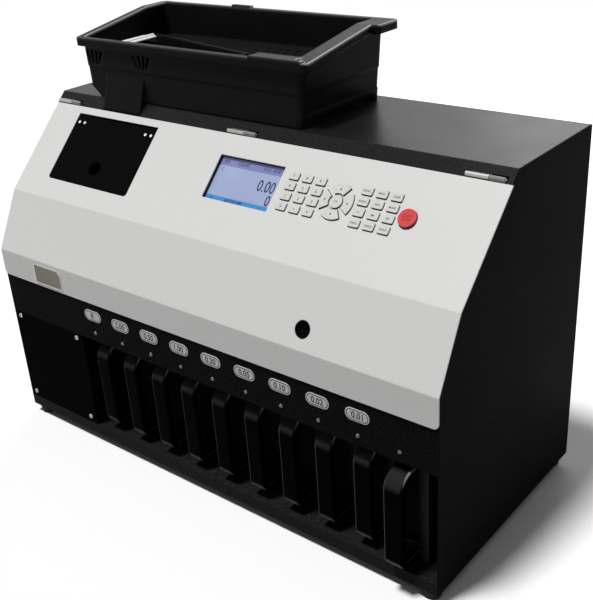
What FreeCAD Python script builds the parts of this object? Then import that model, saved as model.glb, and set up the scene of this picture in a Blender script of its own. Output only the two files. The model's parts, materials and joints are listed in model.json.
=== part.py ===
import FreeCAD, Part

import math
import os

from FreeCAD import Placement, Rotation, Vector

# A desktop coin sorting machine: a sheet-steel cabinet with a hinged sloping front cover,
# a coin hopper on top and a row of pull-out coin drawers below a label rail.
# Millimetres. X runs to the right, Y to the rear and Z up. The pieces are made with the
# front panel in the plane Y = 0 and the cabinet's underside at Z = 0, and are moved at the
# end so that the origin is at the middle of the footprint, on the table.

# Cabinet
WIDTH = 664.0
DEPTH = 302.0
SHEET = 1.5
BASE_HEIGHT = 15.0
BASE_RETURN = 30.0
REAR_FLANGE = 14.0
FIT = 0.3
RUNNING_CLEARANCE = 0.05

# Rubber feet
FOOT_HEIGHT = 12.0
FOOT_RADIUS = 12.0
FOOT_TAPER = 1.5
FOOT_INSET_X = 15.0
FOOT_INSET_Y = 13.0

# Front cover, from its lower lip up to the seam, and the bezel above the seam
COVER_SHEET = 1.2
LIP_BOTTOM = 204.0
LIP_HEIGHT = 35.0
LIP_CORNER_RADIUS = 6.5
MID_LENGTH = 80.6
MID_ANGLE = 62.4
UPPER_LENGTH = 131.1
UPPER_ANGLE = 45.0
BEZEL_LENGTH = 17.2
SEAM_GAP = 0.4
BEND_RADIUS = 2.5
COVER_HOLE_INSET = 165.2
COVER_HOLE_DOWN = 58.7
COVER_HOLE_RADIUS = 9.7

# Cover hinges: a fixed barrel with its pin, and a turning barrel on the cover
HINGE_LEFT_INSET = 3.0
HINGE_RIGHT_INSET = 9.1
HINGE_MIDDLE_X = -6.05
HINGE_FIXED_LENGTH = 25.0
HINGE_TURNING_LENGTH = 16.5
HINGE_END_GAP = 0.4
HINGE_RADIUS = 2.5
HINGE_PIN_RADIUS = 1.25
HINGE_UP_FROM_SEAM = 3.0
HINGE_PROUD = 0.8
HINGE_LEAF = 1.4
HINGE_LEAF_REACH = 14.0
HINGE_NOTCH_ABOVE_BARREL = 2.0

# Inspection flap in the cover
FLAP_INSET = 51.6
FLAP_WIDTH = 145.7
FLAP_DOWN = 9.8
FLAP_HEIGHT = 94.6
FLAP_CORNER_RADIUS = 4.5
FLAP_SHEET = 1.5
FLAP_RECESS = 0.6
FLAP_SIDE_GAP = 0.5
FLAP_TOP_GAP = 2.4
FLAP_BARREL_RADIUS = 1.8
FLAP_BARREL_LENGTH = 15.0
FLAP_PIN_RADIUS = 1.0
FLAP_LUG_WIDTH = 5.0
FLAP_LUG_REACH = 10.0
FLAP_HOLE_DOWN = 69.1
FLAP_HOLE_RADIUS = 9.5
FLAP_STOP_WIDTH = 12.0
FLAP_STOP_SHEET = 1.2
FLAP_STOP_LAP = 5.0
FLAP_STOP_FOOT = 4.0

# Display, and the controls' left end from the cover's right end
CONTROLS_INSET = 353.4
LCD_WIDTH = 94.8
LCD_DOWN = 26.9
LCD_HEIGHT = 54.4
LCD_RIM = 5.0
LCD_THICKNESS = 8.0
LCD_RECESS = 4.2

# Keys
KEY_WIDTH = 13.4
KEY_HEIGHT = 8.8
KEY_CORNER_RADIUS = 1.6
KEY_COLUMNS = 3
KEY_ROWS = 4
KEY_PITCH_X = 17.8
KEY_PITCH_DOWN = 12.1
KEY_FIRST_DOWN = 35.4
DIGIT_OFFSET = 111.7
FUNCTION_OFFSET = 206.4
KEY_PROUD = 2.0
KEY_EDGE_RADIUS = 0.6
KEY_BRIM = 0.6
KEY_BRIM_SHEET = 1.0
KEY_CLEARANCE = 0.3
KEY_TRAVEL = 1.0
ARROW_OFFSET = 175.7
ARROW_DOWN = 53.6
ARROW_INNER_RADIUS = 9.4
ARROW_OUTER_RADIUS = 20.5
ARROW_SPAN = 68.0
OK_RADIUS = 7.4
STOP_OFFSET = 262.5
STOP_DOWN = 54.7
STOP_RADIUS = 10.1
STOP_PROUD = 3.0

# Control board behind the keys
BOARD_SHEET = 1.6
BOARD_MARGIN = 6.0
BOARD_DISPLAY_GAP = 1.0
BOARD_POST_RADIUS = 2.5

# Label rail and service cover
RAIL_BOTTOM = 150.0
RAIL_TOP = 222.0
RAIL_TOP_DEPTH = 25.0
RAIL_BOTTOM_DEPTH = 14.0
LAMP_UP = 12.2
LAMP_RADIUS = 2.6
SERVICE_GAP = 29.9
SERVICE_RETURN = 40.0
SERVICE_SCREW_INSET = 11.0
SERVICE_SCREW_TOP = 6.3
SERVICE_SCREW_LOW = 9.5
SCREW_HEAD_RADIUS = 3.2
SCREW_HEAD_HEIGHT = 1.6
SCREW_RADIUS = 1.75
SCREW_HOLE_RADIUS = 1.85
SCREW_LENGTH = 8.0
REAR_SCREW_INSET = 12.0

# Coin drawers
DRAWER_COUNT = 10
DRAWER_FIRST_INSET = 169.9
DRAWER_LAST_INSET = 44.1
DRAWER_GAP = 4.0
DRAWER_HEIGHT = 130.0
DRAWER_LENGTH = 245.0
DRAWER_FRONT = 40.0
DRAWER_WALL = 2.0
DRAWER_FRONT_WALL = 6.0
DRAWER_SCOOP = 3.0
DRAWER_SCOOP_INSET = 3.0
DRAWER_CORNER_RADIUS = 2.0
DRAWER_LAST_PULL = 19.0
HANDLE_WIDTH = 22.0
HANDLE_REACH = 37.0
HANDLE_THICKNESS = 7.0
HANDLE_BOTTOM = 26.0
HANDLE_TOP = 141.0
HANDLE_TOP_RADIUS = 20.0
HANDLE_BOTTOM_RADIUS = 11.0
HANDLE_EDGE_RADIUS = 2.6

# Sorting deck, chutes, feed disc and motor
DECK_SHEET = 3.0
DECK_FRONT = 3.0
COIN_HOLE_WIDTH = 30.0
COIN_HOLE_LENGTH = 34.0
COIN_HOLE_Y = 75.0
CHUTE_WALL = 1.5
CHUTE_ABOVE_DRAWER = 4.0
FENCE_SHEET = 3.0
FENCE_HEIGHT = 12.0
DISC_INSET = 117.0
DISC_Y = 200.0
DISC_RADIUS = 84.0
DISC_SHEET = 4.0
DISC_LIFT = 0.5
DISC_HUB_RADIUS = 18.0
DISC_HUB_TOP_RADIUS = 6.0
DISC_HUB_HEIGHT = 9.0
DISC_RIB_COUNT = 6
DISC_RIB_WIDTH = 4.0
DISC_RIB_HEIGHT = 2.0
RING_GAP = 2.0
RING_WALL = 4.0
RING_HEIGHT = 16.0
RING_GATE = 40.0
SHAFT_RADIUS = 5.0
SHAFT_GRIP = 40.0
MOTOR_RADIUS = 27.0
MOTOR_HEIGHT = 58.0
MOTOR_FLANGE = 66.0
MOTOR_FLANGE_SHEET = 4.0

# Power unit: supply box, mains inlet with its rocker switch
SUPPLY_INSET = 14.0
SUPPLY_DRAWER_GAP = 27.9
SUPPLY_FRONT = 110.0
SUPPLY_LENGTH = 150.0
SUPPLY_HEIGHT = 58.0
INLET_Z = 105.0
INLET_FLANGE_WIDTH = 60.0
INLET_FLANGE_HEIGHT = 31.0
INLET_FLANGE = 2.5
INLET_BODY_WIDTH = 50.0
INLET_BODY_HEIGHT = 24.0
INLET_BODY_DEPTH = 26.0
SOCKET_WIDTH = 24.5
SOCKET_HEIGHT = 16.8
SOCKET_DEPTH = 17.0
SOCKET_OFFSET = -10.0
SWITCH_OFFSET = 14.5
SWITCH_WIDTH = 11.0
SWITCH_HEIGHT = 19.0
SWITCH_DEPTH = 9.0
SWITCH_TILT = 8.0
SWITCH_PIVOT_RADIUS = 1.5
SWITCH_PIVOT_LENGTH = 2.0
VENT_COUNT = 16
VENT_WIDTH = 5.0
VENT_HEIGHT = 60.0
VENT_PITCH = 14.0
VENT_X = 60.0
VENT_BELOW_TOP = 115.3

# Hopper; offsets run to the right from its left wall's foot
HOPPER_INSET = 53.2
HOPPER_WIDTH = 348.8
HOPPER_FRONT = 144.0
HOPPER_BACK = 292.0
HOPPER_FLARE_LEFT = 5.0
HOPPER_FLARE_RIGHT = 6.0
HOPPER_FLARE_BACK = 4.0
HOPPER_WALL = 3.0
HOPPER_CORNER_RADIUS = 7.0
HOPPER_FLOOR = 4.0
HOPPER_STEP = 0.9
HOPPER_PLINTH = 13.5
HOPPER_TAPER = 16.0
HOPPER_TIER = 38.0
HOPPER_RIM_FRONT = 73.0
HOPPER_RIM_BACK = 92.0
HOPPER_RIM_BEND = 261.0
RIM_THICKNESS = 10.0
RIM_OVERHANG = 7.5
RIM_OVERHANG_FRONT = 5.0
RIM_OVERHANG_BACK = 6.0
RIM_EAR = 10.0
RIM_EAR_LENGTH = 41.0
RIM_TAB_OFFSET = 117.8
RIM_TAB_LENGTH = 33.0
RIM_TAB_WIDTH = 5.0
RIM_TAB_HEIGHT = 2.5
RIM_STEP = 2.5
RIM_STEP_OFFSET = 281.8
RIM_LEDGE_FRONT = 14.5
RIM_LEDGE_SIDE = 7.5
RIM_LEDGE_SHEET = 3.0
SHELF_HEIGHT = 50.5
SHELF_SHEET = 3.0
SHELF_OFFSET = 227.8
SHELF_Y = 194.0
SHELF_LEFT_Y = 237.0
SHELF_LEFT_OFFSET = 33.8
SHELF_FENCE = 12.0
HOLE_ROWS = 4
HOLE_COLUMNS = 10
HOLE_RADIUS = 3.5
HOLE_PITCH = 15.0
HOLE_OFFSET = 192.8
HOLE_FIRST_Y = 228.0
SPOUT_OFFSET = 35.8
SPOUT_WIDTH = 68.0
SPOUT_LENGTH = 64.0
SPOUT_BOTTOM = 262.0
SPOUT_WALL = 2.5
SPOUT_GAP = 0.5
SPOUT_LEAN_RISE = 30.0
SPOUT_LEAN_GAP = 1.0
ARCH_FRONT = 173.0
ARCH_LENGTH = 104.0
ARCH_HEIGHT = 7.0
SLOT_OFFSETS = (17.8, 103.8)
SLOT_COUNT = 4
SLOT_PITCH = 6.6
SLOT_HEAD = 6.0
SLOT_FOOT = 2.6
SLOT_HEIGHT = 18.0
SLOT_TILT = 23.0
SLOT_BELOW_RIM = 13.2

HALF_WIDTH = WIDTH / 2
INNER_X = HALF_WIDTH - SHEET
COVER_GAP = COVER_SHEET + FIT
OVERCUT = 5.0

# Places along X, each from the end of the cabinet that its piece keeps to
HINGE_LENGTH = HINGE_FIXED_LENGTH + HINGE_END_GAP + HINGE_TURNING_LENGTH
HINGE_STARTS_X = (
    -HALF_WIDTH + HINGE_LEFT_INSET,
    HINGE_MIDDLE_X - HINGE_LENGTH / 2,
    HALF_WIDTH - HINGE_RIGHT_INSET - HINGE_LENGTH,
)
FLAP_LEFT = -HALF_WIDTH + FLAP_INSET
COVER_HOLE_X = HALF_WIDTH - COVER_HOLE_INSET
LCD_LEFT = HALF_WIDTH - CONTROLS_INSET
DIGIT_FIRST_X = LCD_LEFT + DIGIT_OFFSET
ARROW_X = LCD_LEFT + ARROW_OFFSET
FUNCTION_FIRST_X = LCD_LEFT + FUNCTION_OFFSET
STOP_X = LCD_LEFT + STOP_OFFSET
DRAWER_FIRST_X = -HALF_WIDTH + DRAWER_FIRST_INSET
DRAWER_PITCH = (HALF_WIDTH - DRAWER_LAST_INSET - DRAWER_FIRST_X) / (DRAWER_COUNT - 1)
DRAWER_WIDTH = DRAWER_PITCH - DRAWER_GAP
DRAWER_SCOOP_WIDTH = DRAWER_WIDTH - 2 * DRAWER_SCOOP_INSET
DRAWER_BAY_LEFT = DRAWER_FIRST_X - DRAWER_WIDTH / 2
SERVICE_RIGHT = DRAWER_FIRST_X - SERVICE_GAP
SUPPLY_LEFT = -HALF_WIDTH + SUPPLY_INSET
SUPPLY_WIDTH = DRAWER_BAY_LEFT - SUPPLY_DRAWER_GAP - SUPPLY_LEFT
INLET_X = (DRAWER_BAY_LEFT - HALF_WIDTH) / 2
DISC_X = -HALF_WIDTH + DISC_INSET
HOPPER_LEFT = -HALF_WIDTH + HOPPER_INSET
HOPPER_RIGHT = HOPPER_LEFT + HOPPER_WIDTH
RIM_TAB_X = HOPPER_LEFT + RIM_TAB_OFFSET
RIM_STEP_X = HOPPER_LEFT + RIM_STEP_OFFSET
SHELF_X = HOPPER_LEFT + SHELF_OFFSET
SHELF_LEFT_X = HOPPER_LEFT + SHELF_LEFT_OFFSET
HOLE_FIRST_X = HOPPER_LEFT + HOLE_OFFSET
SPOUT_LEFT = HOPPER_LEFT + SPOUT_OFFSET
SLOT_GROUPS_X = [HOPPER_LEFT + offset for offset in SLOT_OFFSETS]


def along(point, angle, length):
    """The point of a side view that lies at a distance and an angle from another."""
    turn = math.radians(angle)
    return point[0] + length * math.cos(turn), point[1] + length * math.sin(turn)


# Side view of the front, as (Y, Z): lip, middle facet, upper facet, seam and top fold
LIP_LOW = (-COVER_GAP, LIP_BOTTOM)
LIP_HIGH = (-COVER_GAP, LIP_BOTTOM + LIP_HEIGHT)
MID_HIGH = along(LIP_HIGH, MID_ANGLE, MID_LENGTH)
SEAM = along(MID_HIGH, UPPER_ANGLE, UPPER_LENGTH)
FOLD = along(SEAM, UPPER_ANGLE, BEZEL_LENGTH)
HEIGHT = FOLD[1]
COVER_PATH = [SEAM, MID_HIGH, LIP_HIGH, LIP_LOW]
LAMP_HEIGHT = RAIL_BOTTOM + LAMP_UP
VENT_Z = HEIGHT - VENT_BELOW_TOP

DRAWER_XS = [DRAWER_FIRST_X + DRAWER_PITCH * number for number in range(DRAWER_COUNT)]
DRAWER_FLOOR = BASE_HEIGHT + FIT
DRAWER_TOP = DRAWER_FLOOR + DRAWER_HEIGHT
HANDLE_FACE = DRAWER_FRONT - HANDLE_REACH
BRIM_TOP = -COVER_SHEET - FIT
BRIM_BOTTOM = BRIM_TOP - KEY_BRIM_SHEET
BOARD_TOP = BRIM_BOTTOM - KEY_TRAVEL - FIT
DECK_TOP = RAIL_TOP + DECK_SHEET
DISC_BOTTOM = DECK_TOP + DISC_LIFT
RIM_BACK_Y = HOPPER_BACK + HOPPER_FLARE_BACK + RIM_OVERHANG_BACK

# The rocker's lower corner stands out furthest at the rear, the last drawer's handle at the front
SWITCH_TURN = math.radians(SWITCH_TILT)
SWITCH_PIVOT_Y = DEPTH + INLET_FLANGE - SWITCH_DEPTH / 2
FRONT_MOST = HANDLE_FACE - DRAWER_LAST_PULL
REAR_MOST = (SWITCH_PIVOT_Y + SWITCH_DEPTH / 2 * math.cos(SWITCH_TURN)
             + (SWITCH_HEIGHT / 2 - FIT) * math.sin(SWITCH_TURN))
ORIGIN = Vector(0, (FRONT_MOST + REAR_MOST) / 2, -FOOT_HEIGHT)


def box(x0, x1, y0, y1, z0, z1):
    return Part.makeBox(x1 - x0, y1 - y0, z1 - z0, Vector(x0, y0, z0))


def rounded_box(x0, x1, y0, y1, z0, z1, radius):
    """A box whose four upright edges are rounded."""
    block = box(x0, x1, y0, y1, z0, z1)
    upright = [edge for edge in block.Edges if abs(edge.tangentAt(edge.FirstParameter).z) > 0.99]
    return block.makeFillet(radius, upright)


def rod(radius, start, direction, length):
    return Part.makeCylinder(radius, length, start, direction)


def prism_x(points, x0, x1):
    """A side-view outline, as (Y, Z) points, pulled along X."""
    corners = [Vector(x0, y, z) for y, z in points]
    face = Part.Face(Part.makePolygon(corners + corners[:1]))
    return face.extrude(Vector(x1 - x0, 0, 0))


def prism_y(points, y0, y1):
    """A front-view outline, as (X, Z) points, pulled along Y."""
    corners = [Vector(x, y0, z) for x, z in points]
    face = Part.Face(Part.makePolygon(corners + corners[:1]))
    return face.extrude(Vector(0, y1 - y0, 0))


def prism_z(points, z0, z1):
    """A plan outline, as (X, Y) points, pulled along Z."""
    corners = [Vector(x, y, z0) for x, y in points]
    face = Part.Face(Part.makePolygon(corners + corners[:1]))
    return face.extrude(Vector(0, 0, z1 - z0))


def offset_path(points, distance):
    """The path moved to its left by a distance, with its corners mitred."""
    normals = []
    for (a0, b0), (a1, b1) in zip(points, points[1:]):
        length = math.hypot(a1 - a0, b1 - b0)
        normals.append((-(b1 - b0) / length, (a1 - a0) / length))
    moved = []
    for number, (a, b) in enumerate(points):
        before = normals[max(number - 1, 0)]
        after = normals[min(number, len(normals) - 1)]
        share = distance / (1 + before[0] * after[0] + before[1] * after[1])
        moved.append((a + share * (before[0] + after[0]), b + share * (before[1] + after[1])))
    return moved


def sheet_outline(points, thickness):
    """The closed outline of a sheet whose outer side follows a path."""
    return points + offset_path(points, thickness)[::-1]


def edges_along_x(shape, places):
    """The edges parallel to X that pass through the given (Y, Z) places."""
    found = []
    for edge in shape.Edges:
        middle = edge.CenterOfMass
        if edge.BoundBox.YLength > 1e-3 or edge.BoundBox.ZLength > 1e-3:
            continue
        if any(math.hypot(middle.y - y, middle.z - z) < 1e-3 for y, z in places):
            found.append(edge)
    return found


def on_facet(shape, origin, angle):
    """A shape made with X right, Y up the slope and Z outwards, laid on a sloping facet."""
    placed = shape.copy()
    place = Placement(Vector(0, origin[0], origin[1]), Rotation(Vector(1, 0, 0), angle))
    placed.Placement = place.multiply(placed.Placement)
    return placed


def on_upper(shape):
    return on_facet(shape, SEAM, UPPER_ANGLE)


def on_middle(shape):
    return on_facet(shape, MID_HIGH, MID_ANGLE)


def fuse(shapes):
    return shapes[0].multiFuse(shapes[1:]).removeSplitter() if len(shapes) > 1 else shapes[0]


def group(shapes):
    return Part.makeCompound(shapes)


def base_plate():
    """An inverted tray whose front and rear flanges turn in at the bottom for the feet."""
    low = BASE_HEIGHT - SHEET
    outline = [
        (0, 0), (BASE_RETURN, 0), (BASE_RETURN, SHEET), (SHEET, SHEET), (SHEET, low),
        (DEPTH - SHEET, low), (DEPTH - SHEET, SHEET), (DEPTH - BASE_RETURN, SHEET),
        (DEPTH - BASE_RETURN, 0), (DEPTH, 0), (DEPTH, BASE_HEIGHT), (0, BASE_HEIGHT),
    ]
    return prism_x(outline, -INNER_X, INNER_X)


def side_panels():
    """Two flat sides; their front edges lie just behind the cover and the label rail."""
    outline = [(DEPTH, 0), (DEPTH, HEIGHT), FOLD, SEAM]
    outline += offset_path(COVER_PATH, COVER_GAP)
    outline += [(0, 0)]
    return group([prism_x(outline, -HALF_WIDTH, -INNER_X), prism_x(outline, INNER_X, HALF_WIDTH)])


def rear_screw_places():
    xs = (-INNER_X + REAR_SCREW_INSET, 0, INNER_X - REAR_SCREW_INSET)
    zs = (BASE_HEIGHT + REAR_SCREW_INSET, HEIGHT - REAR_FLANGE - REAR_SCREW_INSET)
    return [(x, z) for x in xs for z in zs]


def rear_panel():
    panel = box(-INNER_X, INNER_X, DEPTH - SHEET, DEPTH, BASE_HEIGHT, HEIGHT)
    y0 = DEPTH - SHEET - OVERCUT
    y1 = DEPTH + OVERCUT
    cuts = [box(INLET_X - INLET_BODY_WIDTH / 2, INLET_X + INLET_BODY_WIDTH / 2, y0, y1,
                INLET_Z - INLET_BODY_HEIGHT / 2, INLET_Z + INLET_BODY_HEIGHT / 2)]
    for number in range(VENT_COUNT):
        x = VENT_X + VENT_PITCH * (number - (VENT_COUNT - 1) / 2)
        cuts.append(box(x - VENT_WIDTH / 2, x + VENT_WIDTH / 2, y0, y1,
                        VENT_Z - VENT_HEIGHT / 2, VENT_Z + VENT_HEIGHT / 2))
    for x, z in rear_screw_places():
        cuts.append(rod(SCREW_HOLE_RADIUS, Vector(x, y0, z), Vector(0, 1, 0), y1 - y0))
    return panel.cut(cuts)


def top_panel():
    """The top with its sloping bezel, notched for the hinges and for the hopper's spout."""
    back = DEPTH - SHEET
    path = [(back, HEIGHT - REAR_FLANGE), (back, HEIGHT), FOLD, SEAM]
    panel = prism_x(sheet_outline(path, SHEET), -INNER_X, INNER_X)
    panel = panel.makeFillet(BEND_RADIUS, edges_along_x(panel, [FOLD]))
    spout_right = SPOUT_LEFT + SPOUT_WIDTH
    cuts = [box(SPOUT_LEFT - SPOUT_GAP, spout_right + SPOUT_GAP, 0,
                HOPPER_FRONT + SPOUT_LENGTH + SPOUT_GAP, 0, HEIGHT + OVERCUT)]
    notch = HINGE_UP_FROM_SEAM + HINGE_RADIUS + HINGE_NOTCH_ABOVE_BARREL
    for x in HINGE_STARTS_X:
        left = max(x - HINGE_END_GAP, -HALF_WIDTH - OVERCUT)
        cut = box(left, x + HINGE_LENGTH + HINGE_PIN_RADIUS + HINGE_END_GAP,
                  -OVERCUT, notch, -OVERCUT, OVERCUT)
        cuts.append(on_upper(cut))
    return panel.cut(cuts)


def label_rail():
    """The strip that carries the labels and lamps above the drawers, turned in at both edges."""
    path = [(RAIL_TOP_DEPTH, RAIL_TOP), (0, RAIL_TOP), (0, RAIL_BOTTOM), (RAIL_BOTTOM_DEPTH, RAIL_BOTTOM)]
    rail = prism_x(sheet_outline(path, SHEET), -INNER_X, INNER_X)
    length = SHEET + 2 * OVERCUT
    holes = [rod(LAMP_RADIUS, Vector(x, -OVERCUT, LAMP_HEIGHT), Vector(0, 1, 0), length) for x in DRAWER_XS]
    return rail.cut(holes)


def service_screw_places():
    xs = (-INNER_X + SERVICE_SCREW_INSET, SERVICE_RIGHT - SERVICE_SCREW_INSET)
    zs = (BASE_HEIGHT + SERVICE_SCREW_LOW, RAIL_BOTTOM - SERVICE_SCREW_TOP)
    return [(x, z) for x in xs for z in zs]


def service_cover():
    """The plate left of the drawers, turned back along the drawer bay."""
    outline = [
        (-INNER_X, 0), (SERVICE_RIGHT, 0), (SERVICE_RIGHT, SERVICE_RETURN),
        (SERVICE_RIGHT - SHEET, SERVICE_RETURN), (SERVICE_RIGHT - SHEET, SHEET), (-INNER_X, SHEET),
    ]
    cover = prism_z(outline, BASE_HEIGHT, RAIL_BOTTOM)
    length = SHEET + 2 * OVERCUT
    holes = [rod(SCREW_HOLE_RADIUS, Vector(x, -OVERCUT, z), Vector(0, 1, 0), length)
             for x, z in service_screw_places()]
    return cover.cut(holes)


def screw(seat, inwards):
    """A pan-head screw whose head sits on its seat."""
    head = rod(SCREW_HEAD_RADIUS, seat - inwards * SCREW_HEAD_HEIGHT, inwards, SCREW_HEAD_HEIGHT)
    rim = [edge for edge in head.Edges if (edge.CenterOfMass - seat).dot(inwards) < -SCREW_HEAD_HEIGHT / 2
           and edge.Length > SCREW_HEAD_HEIGHT * 2]
    head = head.makeFillet(SCREW_HEAD_HEIGHT / 2, rim)
    return fuse([head, rod(SCREW_RADIUS, seat, inwards, SCREW_LENGTH)])


def case_screws():
    front = [screw(Vector(x, 0, z), Vector(0, 1, 0)) for x, z in service_screw_places()]
    rear = [screw(Vector(x, DEPTH, z), Vector(0, -1, 0)) for x, z in rear_screw_places()]
    return group(front + rear)


def rubber_feet():
    feet = []
    for x in (-HALF_WIDTH + FOOT_INSET_X, HALF_WIDTH - FOOT_INSET_X):
        for y in (FOOT_INSET_Y, DEPTH - FOOT_INSET_Y):
            feet.append(Part.makeCone(FOOT_RADIUS - FOOT_TAPER, FOOT_RADIUS, FOOT_HEIGHT,
                                      Vector(x, y, -FOOT_HEIGHT)))
    return group(feet)


def hinge_axis_point(x):
    """A point of the cover's hinge axis, in the upper facet's own directions."""
    return Vector(x, HINGE_UP_FROM_SEAM, HINGE_PROUD)


def cover_hinges():
    """The fixed barrels with their pins, on leaves behind the bezel."""
    hinges = []
    for x in HINGE_STARTS_X:
        end = x + HINGE_FIXED_LENGTH
        barrel = rod(HINGE_RADIUS, hinge_axis_point(x), Vector(1, 0, 0), HINGE_FIXED_LENGTH)
        pin = rod(HINGE_PIN_RADIUS, hinge_axis_point(x), Vector(1, 0, 0), HINGE_LENGTH + HINGE_PIN_RADIUS)
        leaf = box(x, end, HINGE_UP_FROM_SEAM, HINGE_LEAF_REACH, -SHEET - HINGE_LEAF, -SHEET)
        web = box(x, end, HINGE_UP_FROM_SEAM, HINGE_UP_FROM_SEAM + HINGE_RADIUS,
                  -SHEET - HINGE_LEAF, HINGE_PROUD)
        hinges.append(on_upper(fuse([barrel, pin, leaf, web])))
    return group(hinges)


def cover_barrels():
    """The turning barrels on their leaves, welded behind the cover's top edge."""
    barrels = []
    for x in HINGE_STARTS_X:
        start = x + HINGE_FIXED_LENGTH + HINGE_END_GAP
        end = start + HINGE_TURNING_LENGTH
        barrel = rod(HINGE_RADIUS, hinge_axis_point(start), Vector(1, 0, 0), HINGE_TURNING_LENGTH)
        leaf = box(start, end, -HINGE_LEAF_REACH, HINGE_UP_FROM_SEAM, -COVER_SHEET - HINGE_LEAF, -COVER_SHEET)
        web = box(start, end, HINGE_UP_FROM_SEAM - HINGE_RADIUS, HINGE_UP_FROM_SEAM,
                  -COVER_SHEET - HINGE_LEAF, HINGE_PROUD)
        bore = rod(HINGE_PIN_RADIUS + RUNNING_CLEARANCE, hinge_axis_point(start - OVERCUT),
                   Vector(1, 0, 0), HINGE_TURNING_LENGTH + 2 * OVERCUT)
        barrels.append(on_upper(fuse([barrel, leaf, web]).cut(bore)))
    return barrels


def flap_axis_point(x):
    """A point of the flap's hinge axis, in the upper facet's own directions."""
    return Vector(x, -FLAP_DOWN - FLAP_TOP_GAP, -FLAP_RECESS - FLAP_SHEET - FLAP_BARREL_RADIUS + FIT)


def flap_carriers():
    """Lugs with pins at the flap's top corners, and stops behind its bottom edge."""
    pieces = []
    right = FLAP_LEFT + FLAP_WIDTH
    axis = flap_axis_point(0)
    for x, side in ((FLAP_LEFT, -1), (right, 1)):
        outer = x + side * FLAP_LUG_WIDTH
        lug = box(min(x, outer), max(x, outer), axis.y - FLAP_LUG_REACH / 2, axis.y + FLAP_LUG_REACH / 2,
                  axis.z - 2 * FLAP_PIN_RADIUS, -COVER_SHEET)
        pin = rod(FLAP_PIN_RADIUS, flap_axis_point(outer), Vector(-side, 0, 0),
                  FLAP_LUG_WIDTH + FLAP_SIDE_GAP + FLAP_BARREL_LENGTH)
        pieces.append(on_upper(fuse([lug, pin])))
    low = -FLAP_DOWN - FLAP_HEIGHT
    face = -FLAP_RECESS - FLAP_SHEET - FIT
    for x in (FLAP_LEFT + FLAP_WIDTH / 4, right - FLAP_WIDTH / 4):
        x0 = x - FLAP_STOP_WIDTH / 2
        x1 = x + FLAP_STOP_WIDTH / 2
        tongue = box(x0, x1, low - FLAP_STOP_FOOT, low + FLAP_STOP_LAP, face - FLAP_STOP_SHEET, face)
        foot = box(x0, x1, low - FLAP_STOP_FOOT, low - FIT, face - FLAP_STOP_SHEET, -COVER_SHEET)
        pieces.append(on_upper(fuse([tongue, foot])))
    return pieces


def flap_opening(grow_side, grow_top, z0, z1):
    """The flap's outline, smaller by a gap at its sides and bottom and by another at its top."""
    x0 = FLAP_LEFT + grow_side
    x1 = FLAP_LEFT + FLAP_WIDTH - grow_side
    top = -FLAP_DOWN - grow_top
    low = -FLAP_DOWN - FLAP_HEIGHT + grow_side
    plate = box(x0, x1, low, top, z0, z1)
    corners = [edge for edge in plate.Edges
               if edge.BoundBox.ZLength > (z1 - z0) / 2 and abs(edge.CenterOfMass.y - low) < 1e-3]
    return plate.makeFillet(FLAP_CORNER_RADIUS - grow_side, corners)


def inspection_flap():
    """The black flap with its finger hole, on two barrels behind its top edge."""
    plate = flap_opening(FLAP_SIDE_GAP, FLAP_TOP_GAP, -FLAP_RECESS - FLAP_SHEET, -FLAP_RECESS)
    middle = FLAP_LEFT + FLAP_WIDTH / 2
    hole = rod(FLAP_HOLE_RADIUS, Vector(middle, -FLAP_DOWN - FLAP_HOLE_DOWN, -OVERCUT),
               Vector(0, 0, 1), 2 * OVERCUT)
    barrels = []
    bores = []
    length = FLAP_BARREL_LENGTH
    for x in (FLAP_LEFT + FLAP_SIDE_GAP, FLAP_LEFT + FLAP_WIDTH - FLAP_SIDE_GAP - length):
        barrels.append(rod(FLAP_BARREL_RADIUS, flap_axis_point(x), Vector(1, 0, 0), length))
        bores.append(rod(FLAP_PIN_RADIUS + RUNNING_CLEARANCE, flap_axis_point(x - OVERCUT),
                         Vector(1, 0, 0), length + 2 * OVERCUT))
    return on_upper(fuse([plate.cut(hole)] + barrels).cut(bores))


def key_rectangle(grow, z0, z1):
    half_x = KEY_WIDTH / 2 + grow
    half_y = KEY_HEIGHT / 2 + grow
    return rounded_box(-half_x, half_x, -half_y, half_y, z0, z1, KEY_CORNER_RADIUS + grow)


def key_disc(radius):
    def outline(grow, z0, z1):
        return rod(radius + grow, Vector(0, 0, z0), Vector(0, 0, 1), z1 - z0)
    return outline


def key_sector(turn):
    """One quarter of the ring of arrow keys, facing a given way from the ring's middle."""
    def outline(grow, z0, z1):
        span = ARROW_SPAN + 2 * math.degrees(grow / ARROW_INNER_RADIUS)
        wedge = Part.makeCylinder(ARROW_OUTER_RADIUS + grow, z1 - z0, Vector(0, 0, z0), Vector(0, 0, 1), span)
        core = rod(ARROW_INNER_RADIUS - grow, Vector(0, 0, z0), Vector(0, 0, 1), z1 - z0)
        sector = wedge.cut(core)
        sector.rotate(Vector(0, 0, 0), Vector(0, 0, 1), turn - span / 2)
        return sector
    return outline


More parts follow.
